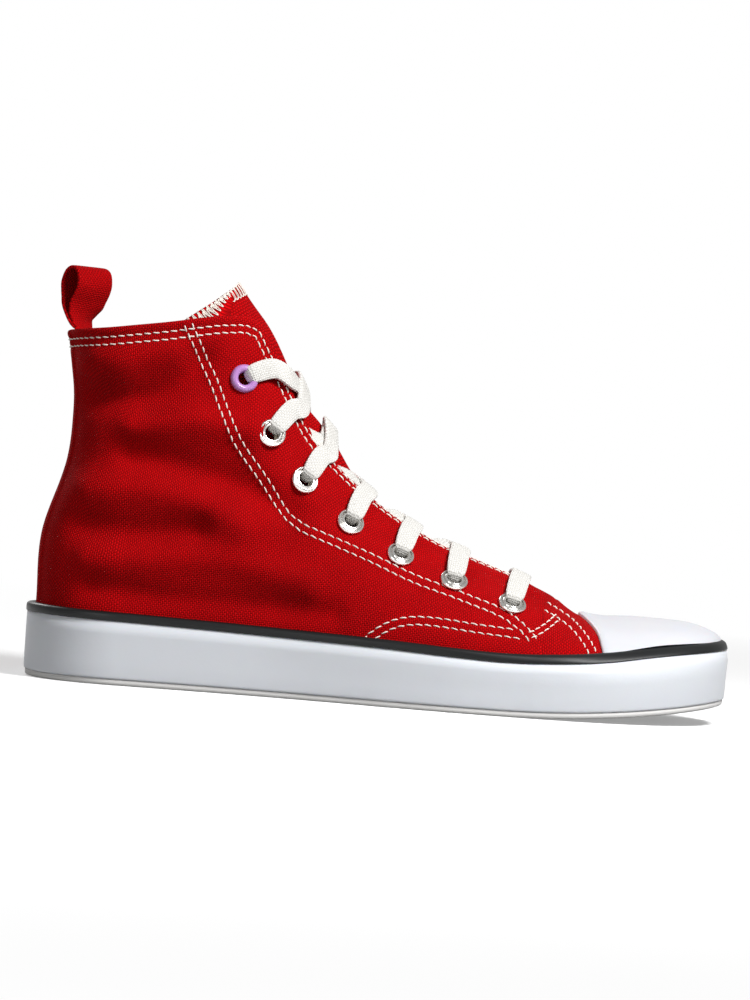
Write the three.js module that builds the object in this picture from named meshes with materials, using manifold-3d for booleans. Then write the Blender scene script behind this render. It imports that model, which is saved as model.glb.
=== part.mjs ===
// Canvas high-top sneaker for the right foot, standing empty on its sole.
// Millimetres. +X points to the toe, +Y to the inner side of the foot, +Z up. While the pieces are made,
// x = 0 is the back of the sole; at the end the origin moves to the middle of the footprint, on the floor.
//
// The upper is a skin of ribs. Each rib climbs from the feather line, where upper meets sole, to the top
// line: the collar, then the throat edge, then the ridge over the toes. A rib is placed by q, which runs
// 0 to 1 round the heel, 1 to 2 along the side and 2 to 3 round the toe, and a point on it by v, 0 to 1.
import * as THREE from "three";
import { mergeVertices } from "three/addons/utils/BufferGeometryUtils.js";
import Module from "manifold-3d";

const wasm = await Module();
wasm.setup();

// ---- Driving dimensions ----
const HEEL_X = 38; // centre of the heel's round
const BALL_X = 195; // where the toe's round starts
const TOE_X = 266.5; // front of the upper
const TOE_POWER = 2.2; // superellipse power of the toe's outline
const VAMP_X = 198; // where the throat closes
const RIDGE_END_X = 252; // the front rib's top, on the toe
const TOE_REACH_POWER = 1.335; // how the toe's ribs spread along the ridge
const ROUND_OVER = { from: 85, to: 120 }; // where the throat's edge starts to round over
const CANVAS = 1.8; // wall of the two-ply canvas
const GAP = 0.3; // between neighbouring pieces
const LAYER_GAP = 0.85; // between the upper and what is wrapped round it
const CAP_WALL = 1.6; // rubber toe cap
const CAP_START_Q = 2.21; // rib of the toe cap's rear edge
const FOXING = 2.8; // rubber wall wrapped round the sole's edge
const STRIPE_TALL = 3.5; // dark stripe along the top of the foxing
const STRIPE_PROUD = 0.4;
const TOE_SPRING = { from: 180, to: 270, rise: 8.6 }; // the sole curves up to the toe
const HEEL_BEVEL = { from: 12, rise: 0.8 }; // and a little at the heel's back
const TREAD_TALL = 2.2; // sole lip under the foxing
const TREAD_DEEP = 1.3; // grooves between the lugs
const LIP = { back: 0.6, bevel: 0.8 }; // the lip stands back from the foxing's face
const INSOLE_THICK = 4;
const TONGUE_THICK = 2.2;
const EYELET = { bore: 2.75, barrel: 3.3, flange: 5.5, washer: 4.4, seat: 1, tall: 1, sheet: 0.5, roll: 0.8 };
const LACE = { width: 7, thick: 1.4, lift: 1.8, over: 0.8, crest: 2.9, tuckIn: 2.4, tuckLift: 3.6 };
const LOOP = { width: 17, thick: 1.5, top: 157.2, turn: -44, twist: { from: 130.5, to: 144 } };
const TREAD = { wide: 3, pitch: 13, heelStart: 16, heelCount: 4, ballStart: 140, ballCount: 8 }; // grooves
const WELD = 2e-3; // corners closer than this are one

// Six levels carry each rib: the feather line, four between and the top line. UP is each level's share
// of the rib's height, and the tables below give half widths measured from the shoe's centre line.
const UP = [0, 0.15, 0.36, 0.6, 0.82, 1];
const HEEL_BACK = { feather: 33.8, low: 33.9, waist: 33.6, ankle: 25.9, high: 25.3, top: 28.9 };
const TOE_INWARD = { feather: 0, low: -0.02, waist: -0.02, ankle: 0.02, high: 0.21, top: 1 };
const INNER_LEVELS = ["low", "waist", "ankle", "high"];

// Lateral and medial are the feather line; the four levels are the lateral side's.
const SECTIONS = [
  { x: 38, centre: 0.0, lateral: 29.5, medial: 29.5, low: 30.3, waist: 29.0, ankle: 26.0, high: 27.2 },
  { x: 60, centre: 0.2, lateral: 30.2, medial: 28.4, low: 31.0, waist: 30.6, ankle: 27.9, high: 28.0 },
  { x: 80, centre: 0.3, lateral: 31.3, medial: 27.1, low: 32.0, waist: 31.6, ankle: 27.8, high: 23.2 },
  { x: 100, centre: 0.5, lateral: 33.5, medial: 27.1, low: 34.2, waist: 33.6, ankle: 30.0, high: 22.5 },
  { x: 120, centre: 1.0, lateral: 37.5, medial: 29.5, low: 38.2, waist: 37.4, ankle: 32.5, high: 23.0 },
  { x: 140, centre: 1.5, lateral: 42.0, medial: 34.0, low: 42.6, waist: 41.4, ankle: 35.5, high: 24.5 },
  { x: 165, centre: 2.1, lateral: 46.4, medial: 39.2, low: 47.0, waist: 45.5, ankle: 38.5, high: 27.0 },
  { x: 195, centre: 2.5, lateral: 48.1, medial: 41.7, low: 48.6, waist: 46.8, ankle: 40.0, high: 28.0 },
];

// Heights along the shoe: feather line, and top of the dark stripe.
const LEVELS = [
  { x: 0, feather: 12.6, stripe: 28.4 },
  { x: 10, feather: 12.2, stripe: 28.1 },
  { x: 46, feather: 12.0, stripe: 27.5 },
  { x: 100, feather: 12.0, stripe: 26.3 },
  { x: 140, feather: 11.3, stripe: 25.3 },
  { x: 165, feather: 10.8, stripe: 24.2 },
  { x: 182, feather: 10.7, stripe: 23.7 },
  { x: 201, feather: 11.3, stripe: 24.4 },
  { x: 221, feather: 12.8, stripe: 26.2 },
  { x: 242, feather: 15.4, stripe: 29.6 },
  { x: 268, feather: 19.4, stripe: 33.0 },
];

// The top line, from the collar's back to the toe: height, and half width of the opening there.
const TOP_LINE = [
  { x: 9, z: 131.9, half: 0 },
  { x: 26, z: 133.4, half: 28.0 },
  { x: 38, z: 135.2, half: 30.5 },
  { x: 50, z: 137.2, half: 31.0 },
  { x: 60, z: 139.3, half: 29.5 },
  { x: 70, z: 141.0, half: 25.5 },
  { x: 79, z: 140.9, half: 19.0 },
  { x: 82.5, z: 138.8, half: 15.5 },
  { x: 86, z: 133.0, half: 14.2 },
  { x: 90, z: 126.2, half: 13.6 },
  { x: 102, z: 103.0, half: 12.0 },
  { x: 115, z: 88.0, half: 10.0 },
  { x: 131, z: 75.0, half: 7.8 },
  { x: 154, z: 61.9, half: 5.8 },
  { x: 177, z: 53.6, half: 4.7 },
  { x: 190, z: 49.0, half: 4.2 },
  { x: 196, z: 46.6, half: 3.0 },
  { x: 198, z: 45.9, half: 0 },
  { x: 203, z: 43.8, half: 0 },
  { x: 207, z: 40.9, half: 0 },
  { x: 211, z: 38.5, half: 0 },
  { x: 216, z: 37.3, half: 0 },
  { x: 234, z: 36.8, half: 0 },
  { x: 243, z: 36.7, half: 0 },
  { x: 252, z: 36.3, half: 0 },
];

// Eyelet centres, seen from the side, from the collar down.
const EYELETS = [
  { x: 77.9, z: 118.9 },
  { x: 89.4, z: 98.7 },
  { x: 103.3, z: 82.0 },
  { x: 121.8, z: 67.3 },
  { x: 141.6, z: 56.4 },
  { x: 162.5, z: 48.1 },
  { x: 184.9, z: 40.9 },
];

// The lace's crossings, between each row and the row below, and last the bar across the bottom row. A strip
// leaves the lower row, goes over one throat edge, over the tongue's crest and on to the other throat edge.
// Each is the x of a point on the top line or the crest.
const CROSSINGS = [
  { over: 98.5, crest: 100, under: 93.5 },
  { over: 110.5, crest: 111.5, under: 105.5 },
  { over: 126.5, crest: 127, under: 117.5 },
  { over: 145, crest: 145, under: 137 },
  { over: 164, crest: 163.5, under: 156 },
  { over: 188, crest: 188, under: 188 },
];

// The tongue's outer face: its crest, the half axes of its rounded section, and how far round it reaches.
const TONGUE = [
  { x: 72.5, z: 155.8, wide: 26.0, deep: 42, reach: 69 },
  { x: 79, z: 147.4, wide: 25.5, deep: 43, reach: 67 },
  { x: 86, z: 138.0, wide: 24.5, deep: 44, reach: 65 },
  { x: 95, z: 122.4, wide: 21.5, deep: 46, reach: 62 },
  { x: 100, z: 113.4, wide: 19.0, deep: 49, reach: 64 },
  { x: 108, z: 104.2, wide: 17.0, deep: 53, reach: 66 },
  { x: 114, z: 96.8, wide: 16.5, deep: 54, reach: 66 },
  { x: 120, z: 87.8, wide: 17.5, deep: 50, reach: 63 },
  { x: 127, z: 78.4, wide: 20.5, deep: 40, reach: 57 },
  { x: 132, z: 73.6, wide: 22.5, deep: 36, reach: 54 },
  { x: 150, z: 61.8, wide: 24.0, deep: 32, reach: 52 },
  { x: 170, z: 52.6, wide: 26.0, deep: 29, reach: 48 },
  { x: 190, z: 45.6, wide: 28.0, deep: 27, reach: 42 },
  { x: 202, z: 40.4, wide: 28.0, deep: 26, reach: 36 },
];

// Half of the pull loop, seen along its own opening: distance from its middle, height, and the middle's x.
const LOOP_HALF = [
  { out: 0.95, z: 119, x: 17.4 },
  { out: 0.95, z: 129, x: 15.9 },
  { out: 0.95, z: 132.8, x: 14.9 },
  { out: 1.2, z: 136, x: 12.8 },
  { out: 1.6, z: 140, x: 12.6 },
  { out: 2.7, z: 144.5, x: 13.4 },
  { out: 4.1, z: 148, x: 13.9 },
  { out: 4.7, z: 151.5, x: 14.1 },
  { out: 3.2, z: 155.7, x: 14.4 },
];

// ---- Interpolation ----
const mix = (a, b, t) => a + (b - a) * t;
const steps = (from, to, count) => Array.from({ length: count + 1 }, (_, i) => mix(from, to, i / count));
const power = (value, exponent) => Math.max(value, 0) ** exponent;

function ease(x, from, to) {
  const t = Math.min(Math.max((x - from) / (to - from), 0), 1);
  return t * t * (3 - 2 * t);
}

// A smooth curve through one column of a table, by its x column.
function along(rows, column, x) {
  const last = rows.length - 1;
  const at = Math.min(Math.max(x, rows[0].x), rows[last].x);
  let i = 0;
  while (i < last - 1 && at > rows[i + 1].x) i++;
  const slope = (a, b) => (rows[b][column] - rows[a][column]) / (rows[b].x - rows[a].x);
  const bend = (k) => {
    if (k === 0) return slope(0, 1);
    if (k === last) return slope(last - 1, last);
    const before = rows[k].x - rows[k - 1].x;
    const after = rows[k + 1].x - rows[k].x;
    return (slope(k - 1, k) * after + slope(k, k + 1) * before) / (before + after);
  };
  const step = rows[i + 1].x - rows[i].x;
  const t = (at - rows[i].x) / step;
  const start = rows[i][column] * (1 + 2 * t) * (1 - t) ** 2 + bend(i) * step * t * (1 - t) ** 2;
  const end = rows[i + 1][column] * t * t * (3 - 2 * t) - bend(i + 1) * step * t * t * (1 - t);
  return start + end;
}

// ---- The form: side is -1 on the lateral side and +1 on the medial side ----
const centre = (x) => along(SECTIONS, "centre", x);
const quarter = (q) => (q * Math.PI) / 2;

// Half widths of a rib's six levels, for a station on the side of the shoe.
function halfWidths(side, x, topHalf) {
  const lateral = along(SECTIONS, "lateral", x);
  const feather = side < 0 ? lateral : along(SECTIONS, "medial", x);
  const inner = INNER_LEVELS.map((level, i) => {
    return along(SECTIONS, level, x) * mix(feather / lateral, 1, UP[i + 1]);
  });
  return [feather, ...inner, topHalf];
}

function featherPoint(side, q) {
  if (q < 1) {
    const turn = quarter(q);
    return [HEEL_X - HEEL_BACK.feather * Math.cos(turn), side * SECTIONS[0].lateral * Math.sin(turn)];
  }
  if (q <= 2) {
    const x = mix(HEEL_X, BALL_X, q - 1);
    return [x, centre(x) + side * halfWidths(side, x, 0)[0]];
  }
  const turn = quarter(q - 2);
  const long = (TOE_X - BALL_X) * power(Math.sin(turn), 2 / TOE_POWER);
  const half = halfWidths(side, BALL_X, 0)[0] * power(Math.cos(turn), 2 / TOE_POWER);
  return [BALL_X + long, centre(BALL_X) + side * half];
}

// The six points that a rib passes through.
function ribLevels(side, q) {
  const [baseX, baseY] = featherPoint(side, q);
  const baseZ = along(LEVELS, "feather", baseX);
  const point = (x, y, topZ, i) => new THREE.Vector3(x, y, mix(baseZ, topZ, UP[i]));
  if (q < 1) {
    const turn = quarter(q);
    const back = Object.values(HEEL_BACK);
    const half = halfWidths(side, HEEL_X, along(TOP_LINE, "half", HEEL_X));
    const topZ = along(TOP_LINE, "z", HEEL_X - HEEL_BACK.top * Math.cos(turn));
    return UP.map((_, i) => {
      return point(HEEL_X - back[i] * Math.cos(turn), side * half[i] * Math.sin(turn), topZ, i);
    });
  }
  if (q <= 2) {
    const topX = baseX + (VAMP_X - BALL_X) * (q - 1) ** 2;
    const half = halfWidths(side, baseX, along(TOP_LINE, "half", topX));
    return UP.map((share, i) => {
      const x = mix(baseX, topX, share);
      return point(x, centre(x) + side * half[i], along(TOP_LINE, "z", topX), i);
    });
  }
  const reach = power((baseX - BALL_X) / (TOE_X - BALL_X), TOE_REACH_POWER);
  const topX = mix(VAMP_X, RIDGE_END_X, reach);
  const half = halfWidths(side, BALL_X, 0);
  const inward = Object.values(TOE_INWARD);
  return UP.map((_, i) => {
    const share = mix(1 - half[i] / half[0], inward[i], ease(q, 2, 3));
    return point(mix(baseX, topX, share), mix(baseY, centre(topX), share), along(TOP_LINE, "z", topX), i);
  });
}

// Height of the sole's underside: flat from the heel to the ball.
function ground(x) {
  const spring = Math.max((x - TOE_SPRING.from) / (TOE_SPRING.to - TOE_SPRING.from), 0);
  const bevel = Math.max(1 - x / HEEL_BEVEL.from, 0);
  return TOE_SPRING.rise * spring ** 2 + HEEL_BEVEL.rise * bevel ** 2;
}

const ridgeSlope = (x) => (along(TOP_LINE, "z", x + 1) - along(TOP_LINE, "z", x - 1)) / 2;

// A smooth curve through the rib's levels. It leaves the feather line upright. At the top it runs straight
// on at the collar, and rounds over towards the other side along the throat and the toe.
function formPoint(side, q, v) {
  const levels = ribLevels(side, q);
  const [first, second] = levels;
  const [fourth, top] = levels.slice(-2);
  const before = new THREE.Vector3(second.x, second.y, 2 * first.z - second.z);
  const after = top.clone().multiplyScalar(2).sub(fourth);
  const over = fourth.z + 2 * ridgeSlope(top.x) * (top.x - fourth.x);
  after.z = mix(after.z, over, q < 1 ? 0 : ease(top.x, ROUND_OVER.from, ROUND_OVER.to));
  const chain = [before, ...levels, after];
  const i = Math.min(Math.floor(v * 5), 4);
  const t = v * 5 - i;
  const [a, b, c, d] = chain.slice(i, i + 4);
  const blend = (a, b, c, d) => {
    const curve = 2 * a - 5 * b + 4 * c - d;
    return b + (t * (c - a) + t * t * curve + t * t * t * (3 * b - a - 3 * c + d)) / 2;
  };
  return new THREE.Vector3(blend(a.x, b.x, c.x, d.x), blend(a.y, b.y, c.y, d.y), blend(a.z, b.z, c.z, d.z));
}

// The unit normal, pointing out of the shoe.
function formNormal(side, q, v) {
  const h = 0.005;
  if (q >= 2 && v > 1 - h) {
    return new THREE.Vector3(-ridgeSlope(formPoint(side, q, 1).x), 0, 1).normalize();
  }
  const round = formPoint(side, Math.min(q + h, 3), v).sub(formPoint(side, Math.max(q - h, 0), v));
  const upwards = formPoint(side, q, Math.min(v + h, 1)).sub(formPoint(side, q, Math.max(v - h, 0)));
  const normal = round.cross(upwards).multiplyScalar(-side);
  if (q <= 0 || q >= 3) normal.y = 0;
  return normal.normalize();
}

const skin = (side, q, v, offset) => formPoint(side, q, v).addScaledVector(formNormal(side, q, v), offset);

// The way out of the shoe in plan, square to the feather line.
function outward(side, q) {
  const h = 0.005;
  const [x1, y1] = featherPoint(side, Math.max(q - h, 0));
  const [x2, y2] = featherPoint(side, Math.min(q + h, 3));
  const length = Math.hypot(x2 - x1, y2 - y1);
  if (q <= 0 || q >= 3) return [q <= 0 ? -1 : 1, 0];
  return [(-side * (y2 - y1)) / length, (side * (x2 - x1)) / length];
}

// v where a rib reaches a height.
function ribAtHeight(side, q, z) {
  let low = 0;
  let high = 0.95;
  for (let i = 0; i < 30; i++) {
    const middle = (low + high) / 2;
    if (formPoint(side, q, middle).z < z) low = middle;
    else high = middle;
  }
  return low;
}

// q and v of the skin point seen at x, z from the side.
function ribSeenAt(side, x, z) {
  let q = 1 + (x - HEEL_X) / (BALL_X - HEEL_X);
  let v = 0.8;
  for (let i = 0; i < 30; i++) {
    const h = 1e-3;
    const p = formPoint(side, q, v);
    const dq = formPoint(side, q + h, v).sub(p).divideScalar(h);
    const dv = formPoint(side, q, v + h).sub(p).divideScalar(h);
    const det = dq.x * dv.z - dq.z * dv.x;
    q += ((x - p.x) * dv.z - (z - p.z) * dv.x) / det;
    v = Math.min(v + (dq.x * (z - p.z) - dq.z * (x - p.x)) / det, 0.99);
  }
  return [q, v];
}

// ---- Solids ----
// Joins rings of points into one closed mesh. Each ring is a closed section; keep(i, j) may drop a strip.
function sweep(rings, closed, keep = () => true) {
  const size = rings[0].length;
  const positions = rings.flat().flatMap((p) => [p.x, p.y, p.z]);
  const faces = [];
  const quad = (a, b, c, d) => faces.push(a, b, c, a, c, d);
  const steps = closed ? rings.length : rings.length - 1;
  for (let i = 0; i < steps; i++) {
    const next = (i + 1) % rings.length;
    for (let j = 0; j < size; j++) {
      if (!keep(i, j)) continue;
      const k = (j + 1) % size;
      quad(i * size + j, next * size + j, next * size + k, i * size + k);
    }
  }
  if (!closed) {
    const half = size / 2; // a section's second half runs back beside its first half
    for (const [ring, flip] of [[0, false], [rings.length - 1, true]]) {
      const at = (j) => ring * size + j;
      for (let j = 0; j < half - 1; j++) {
        const corners = [at(j), at(j + 1), at(size - 2 - j), at(size - 1 - j)];
        if (flip) quad(corners[3], corners[2], corners[1], corners[0]);
        else quad(...corners);
      }
    }
  }
  return faceOut(closeUp(positions, faces));
}

// Merges shared vertices and drops the faces that collapse.
function closeUp(positions, faces) {
  const loose = new THREE.BufferGeometry();
  loose.setAttribute("position", new THREE.Float32BufferAttribute(positions, 3));
  loose.setIndex(faces);
  const merged = mergeVertices(loose, WELD);
  const index = merged.index.array;
  const kept = [];
  for (let i = 0; i < index.length; i += 3) {
    const [a, b, c] = [index[i], index[i + 1], index[i + 2]];
    if (a !== b && b !== c && a !== c) kept.push(a, b, c);
  }
  return { vertices: merged.attributes.position.array, triangles: Uint32Array.from(kept) };
}

function faceOut({ vertices, triangles }) {
  const solid = (triVerts) => {
    return new wasm.Manifold(new wasm.Mesh({ numProp: 3, vertProperties: vertices, triVerts }));
  };
  const made = solid(triangles);
  if (made.volume() > 0) return made;
  const turned = triangles.slice();
  for (let i = 0; i < turned.length; i += 3) [turned[i + 1], turned[i + 2]] = [turned[i + 2], turned[i + 1]];
  return solid(turned);
}

// A three.js primitive, placed by a matrix, as a solid.
function solidOf(geometry, matrix) {
  const plain = geometry.index ? geometry.toNonIndexed() : geometry.clone();
  plain.applyMatrix4(matrix);
  const positions = plain.attributes.position.array;
  return faceOut(closeUp(positions, [...Array(positions.length / 3).keys()]));
}

function meshOf(name, solid, material) {
  const made = solid.getMesh();
  const geometry = new THREE.BufferGeometry();
  geometry.setAttribute("position", new THREE.BufferAttribute(made.vertProperties, 3));
  geometry.setIndex(new THREE.BufferAttribute(made.triVerts, 1));
  geometry.computeVertexNormals();
  const mesh = new THREE.Mesh(geometry, material);
  mesh.name = name;
  return mesh;
}

// A matrix whose z axis is the skin's normal at a point, at a distance from it.
function standOn(point, normal, distance) {
  const turn = new THREE.Quaternion().setFromUnitVectors(new THREE.Vector3(0, 0, 1), normal);
  const at = point.clone().addScaledVector(normal, distance);
  return new THREE.Matrix4().compose(at, turn, new THREE.Vector3(1, 1, 1));
}

// Ribs all the way round: lateral side from heel to toe, medial side back to the heel.
const HALF_RIBS = [...steps(0, 1, 6), ...steps(1, 2, 12).slice(1), ...steps(2, 3, 9).slice(1)];
const ROUND_RIBS = [
  ...HALF_RIBS.map((q) => ({ side: -1, q })),
  ...HALF_RIBS.slice(1, -1).reverse().map((q) => ({ side: 1, q })),
];

// ---- Upper and toe cap ----
function eyeletSeats() {
  return [-1, 1].flatMap((side) =>
    EYELETS.map((row, i) => {
      const [q, v] = ribSeenAt(side, row.x, row.z);
      return { side, row: i + 1, q, v, point: formPoint(side, q, v), normal: formNormal(side, q, v) };
    }),
  );
}

function upper(seats) {
  const heights = [...steps(0, 0.8, 6), ...steps(0.8, 1, 3).slice(1)];
  const rings = ROUND_RIBS.map(({ side, q }) => [
    ...heights.map((v) => skin(side, q, v, 0)),
    ...heights.map((v) => skin(side, q, v, -CANVAS)).reverse(),
  ]);
  const rim = heights.length - 1;
  const closedOver = (i) => ROUND_RIBS[i].q >= 2 && ROUND_RIBS[(i + 1) % ROUND_RIBS.length].q >= 2;
  const shell = sweep(rings, true, (i, j) => !(j === rim && closedOver(i)));
  const sides = 12;
  const radius = (EYELET.barrel + GAP) / Math.cos(Math.PI / sides);
  const punch = new THREE.CylinderGeometry(radius, radius, 4 * CANVAS, sides).rotateX(Math.PI / 2);
  return seats.reduce(
    (cut, seat) => cut.subtract(solidOf(punch, standOn(seat.point, seat.normal, -CANVAS / 2))),
    shell,
  );
}

function toeCap() {
  const half = steps(CAP_START_Q, 3, 8);
  const ribs = [
    ...half.map((q) => ({ side: -1, q })),
    ...half.slice(0, -1).reverse().map((q) => ({ side: 1, q })),
  ];
  const count = 6;
  const rings = ribs.map(({ side, q }) => {
    const [x] = featherPoint(side, q);
    const start = ribAtHeight(side, q, along(LEVELS, "stripe", x) + 2 * GAP);
    const heights = steps(start, 1, count);
    return [
      ...heights.map((v) => skin(side, q, v, LAYER_GAP + CAP_WALL)),
      ...heights.map((v) => skin(side, q, v, LAYER_GAP)).reverse(),
    ];
  });
  return sweep(rings, false, (i, j) => j !== count);
}

// ---- Sole, foxing, stripe, insole ----
// A point beside the form: at a height z, pushed out horizontally. Below the feather line it drops straight.
function beside(side, q, z, out) {
  const [x, y] = featherPoint(side, q);
  const onSkin = formPoint(side, q, z > along(LEVELS, "feather", x) ? ribAtHeight(side, q, z) : 0);
  const [outX, outY] = outward(side, q);
  return new THREE.Vector3(onSkin.x + out * outX, onSkin.y + out * outY, z);
}

function wrap(section) {
  return sweep(ROUND_RIBS.map(({ side, q }) => section(side, q, featherPoint(side, q)[0])), true);
}

function foxing() {
  return wrap((side, q, x) => {
    const low = ground(x) + TREAD_TALL + GAP;
    const heights = steps(low, along(LEVELS, "stripe", x) - STRIPE_TALL - GAP, 4);
    return [
      ...heights.filter((_, i) => i % 2 === 0).map((z) => beside(side, q, z, LAYER_GAP + FOXING)),
      ...heights.map((z) => beside(side, q, z, LAYER_GAP)).reverse(),
    ];
  });
}

function stripe() {
  return wrap((side, q, x) => {
    const high = along(LEVELS, "stripe", x);
    const out = LAYER_GAP + FOXING + STRIPE_PROUD;
    return [
      beside(side, q, high - STRIPE_TALL, out),
      beside(side, q, high - 1, out),
      beside(side, q, high, out - 1),
      beside(side, q, high, LAYER_GAP),
      beside(side, q, high - STRIPE_TALL / 2, LAYER_GAP),
      beside(side, q, high - STRIPE_TALL, LAYER_GAP),
    ];
  });
}

// Sections across the shoe, each with a lateral and a medial half.
function acrossShoe(section) {
  return sweep(
    HALF_RIBS.map((q) => {
      const lateral = section(-1, q, featherPoint(-1, q)[0]);
      const medial = section(1, q, featherPoint(1, q)[0]);
      return [...lateral, ...medial.reverse()];
    }),
    false,
  );
}

function outsole() {
  const lip = LAYER_GAP + FOXING - LIP.back;
  const block = acrossShoe((side, q, x) => {
    const floor = ground(x);
    return [
      beside(side, q, floor, lip - LIP.bevel),
      beside(side, q, floor + LIP.bevel, lip),
      beside(side, q, floor + TREAD_TALL, lip),
      beside(side, q, floor + TREAD_TALL, 0),
      beside(side, q, along(LEVELS, "feather", x) - GAP, 0),
    ];
  });
  // Grooves across the heel and the forefoot leave the lugs between them.
  const starts = [
    ...Array.from({ length: TREAD.heelCount }, (_, i) => TREAD.heelStart + i * TREAD.pitch),
    ...Array.from({ length: TREAD.ballCount }, (_, i) => TREAD.ballStart + i * TREAD.pitch),
  ];
  const acrossAll = 4 * SECTIONS[SECTIONS.length - 1].medial; // longer than the sole is wide
  const cutter = new THREE.BoxGeometry(TREAD.wide, acrossAll, 2 * TREAD_DEEP);
  return starts.reduce((cut, x) => {
    const place = new THREE.Matrix4().makeTranslation(x, 0, ground(x));
    return cut.subtract(solidOf(cutter, place));
  }, block);
}

function insole() {
  const inset = -(CANVAS + 2 * GAP);
  return acrossShoe((side, q, x) => {
    const low = along(LEVELS, "feather", x);
    return [beside(side, q, low, inset), beside(side, q, low + INSOLE_THICK, inset)];
  });
}

// ---- Tongue ----
function tongue() {
  const first = TONGUE[0].x;
  const last = TONGUE[TONGUE.length - 1].x;
  const turns = steps(-1, 1, 12);
  const rings = steps(0, 1, 13).map((share) => {
    const x = mix(first, last, share ** 1.25);
    const slope = along(TONGUE, "z", x + 0.5) - along(TONGUE, "z", x - 0.5);
    const length = Math.hypot(1, slope);
    const [wide, deep] = [along(TONGUE, "wide", x), along(TONGUE, "deep", x)];
    const reach = THREE.MathUtils.degToRad(along(TONGUE, "reach", x));
    const at = (turn, inwards) => {
      const [sin, cos] = [Math.sin(turn * reach), Math.cos(turn * reach)];
      const square = Math.hypot(deep * sin, wide * cos);
      const down = deep * (1 - cos) + (inwards * wide * cos) / square;
      const y = centre(x) + wide * sin - (inwards * deep * sin) / square;
      return new THREE.Vector3(x + (slope / length) * down, y, along(TONGUE, "z", x) - down / length);
    };
    return [...turns.map((t) => at(t, 0)), ...turns.map((t) => at(t, TONGUE_THICK)).reverse()];
  });
  return sweep(rings, false);
}

// ---- Flat strips: the pull loop and the lace ----
// Each stop on a strip has its place, the way across the strip and the way out of its face.
function strip(stops, width, thick) {
  const rings = stops.map(({ at, across, out }) => {
    return [[-1, 1], [1, 1], [1, -1], [-1, -1]].map(([w, t]) => {
      return at.clone().addScaledVector(across, (w * width) / 2).addScaledVector(out, (t * thick) / 2);
    });
  });
  return sweep(rings, false);
}

function pullLoop() {
  const up = LOOP_HALF.map((row) => new THREE.Vector3(row.out, row.x, row.z));
  const down = up.map((p) => new THREE.Vector3(-p.x, p.y, p.z)).reverse();
  const top = new THREE.Vector3(0, up[up.length - 1].y, LOOP.top);
  const curve = new THREE.CatmullRomCurve3([...up, top, ...down]);
  const stops = steps(0, 1, 30).map((t) => {
    const p = curve.getPoint(t);
    const ahead = curve.getTangent(t);
    const turn = THREE.MathUtils.degToRad(LOOP.turn) * ease(p.z, LOOP.twist.from, LOOP.twist.to);
    const turned = (x, y, z) => new THREE.Vector3(x, y, z).applyAxisAngle(new THREE.Vector3(0, 0, 1), turn);
    return {
      at: turned(p.x, 0, p.z).add(new THREE.Vector3(p.y, 0, 0)),
      across: turned(0, 1, 0),
      out: turned(ahead.z, 0, -ahead.x).normalize(),
    };
  });
  return strip(stops, LOOP.width, LOOP.thick);
}

// A lace strip on a smooth curve through points that each have a face direction.
function laceStrip(points) {
  const curve = new THREE.CatmullRomCurve3(points.map((point) => point.at));
  const spans = points.length - 1;
  const stops = steps(0, 1, 2 * spans).map((t) => {
    const i = Math.min(Math.floor(t * spans), spans - 1);
    const out = points[i].out.clone().lerp(points[i + 1].out, t * spans - i).normalize();
    return { at: curve.getPoint(t), out, across: out.clone().cross(curve.getTangent(t)).normalize() };
  });
  return strip(stops, LACE.width, LACE.thick);
}

// The rib that meets the throat edge at x.
function ribAtEdge(x) {
  const [long, lean] = [BALL_X - HEEL_X, VAMP_X - BALL_X];
  return 1 + (Math.sqrt(long ** 2 + 4 * lean * (x - HEEL_X)) - long) / (2 * lean);
}

// A lace stop on the eyestay: share runs 0 at the eyelet to 1 at the throat edge.
function laceStop(seat, x, share, lift) {
  const q = mix(seat.q, ribAtEdge(x), share);
  const v = mix(seat.v, 1, share);
  return { at: skin(seat.side, q, v, lift), out: formNormal(seat.side, q, v) };
}

// The middle of the throat: over the tongue and no lower than the throat's edges.
function throatStop(x) {
  const out = new THREE.Vector3(-ridgeSlope(x), 0, 1).normalize();
  const edge = along(TOP_LINE, "z", x) + (LACE.lift + LACE.over) / out.z;
  const crest = along(TONGUE, "z", x) + LACE.crest / out.z;
  return { at: new THREE.Vector3(x, centre(x), Math.max(edge, crest)), out };
}

// From one side's eyelet over its throat edge to the middle.
function laceStart(seat, { over, crest }) {
  return [
    laceStop(seat, over, 0.5, LACE.lift),
    laceStop(seat, over, 1, LACE.lift + LACE.over),
    throatStop(crest),
  ];
}

// Over the other throat edge to that side's eyelet.
function laceEnd(seat, { under }) {
  return [laceStop(seat, under, 1, LACE.lift + LACE.over), laceStop(seat, under, 0.5, LACE.lift)];
}

// Between the other throat edge and the tongue.
function laceTuck(seat, { under }) {
  const edge = laceStop(seat, under, 1, 0);
  edge.at.y -= seat.side * LACE.tuckIn;
  edge.at.addScaledVector(edge.out, LACE.tuckLift);
  return [edge];
}

const seatOf = (seats, side, row) => seats.find((seat) => seat.side === side && seat.row === row);

function laceBar(seats) {
  const row = EYELETS.length;
  const crossing = CROSSINGS[row - 2];
  const [lateral, medial] = [-1, 1].map((side) => seatOf(seats, side, row));
  return laceStrip([...laceStart(lateral, crossing), ...laceEnd(medial, crossing)]);
}

// Two strips from one row's eyelets to the row above. The top crossing ends on the eyestays and the others
// dive under them.
function laceCross(seats, row) {
  const crossing = CROSSINGS[row - 1];
  const finishOff = row === 1 ? laceEnd : laceTuck;
  const arms = [-1, 1].map((side) => {
    const [from, to] = [seatOf(seats, side, row + 1), seatOf(seats, -side, row)];
    return laceStrip([...laceStart(from, crossing), ...finishOff(to, crossing)]);
  });
  return arms[0].add(arms[1]);
}

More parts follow.
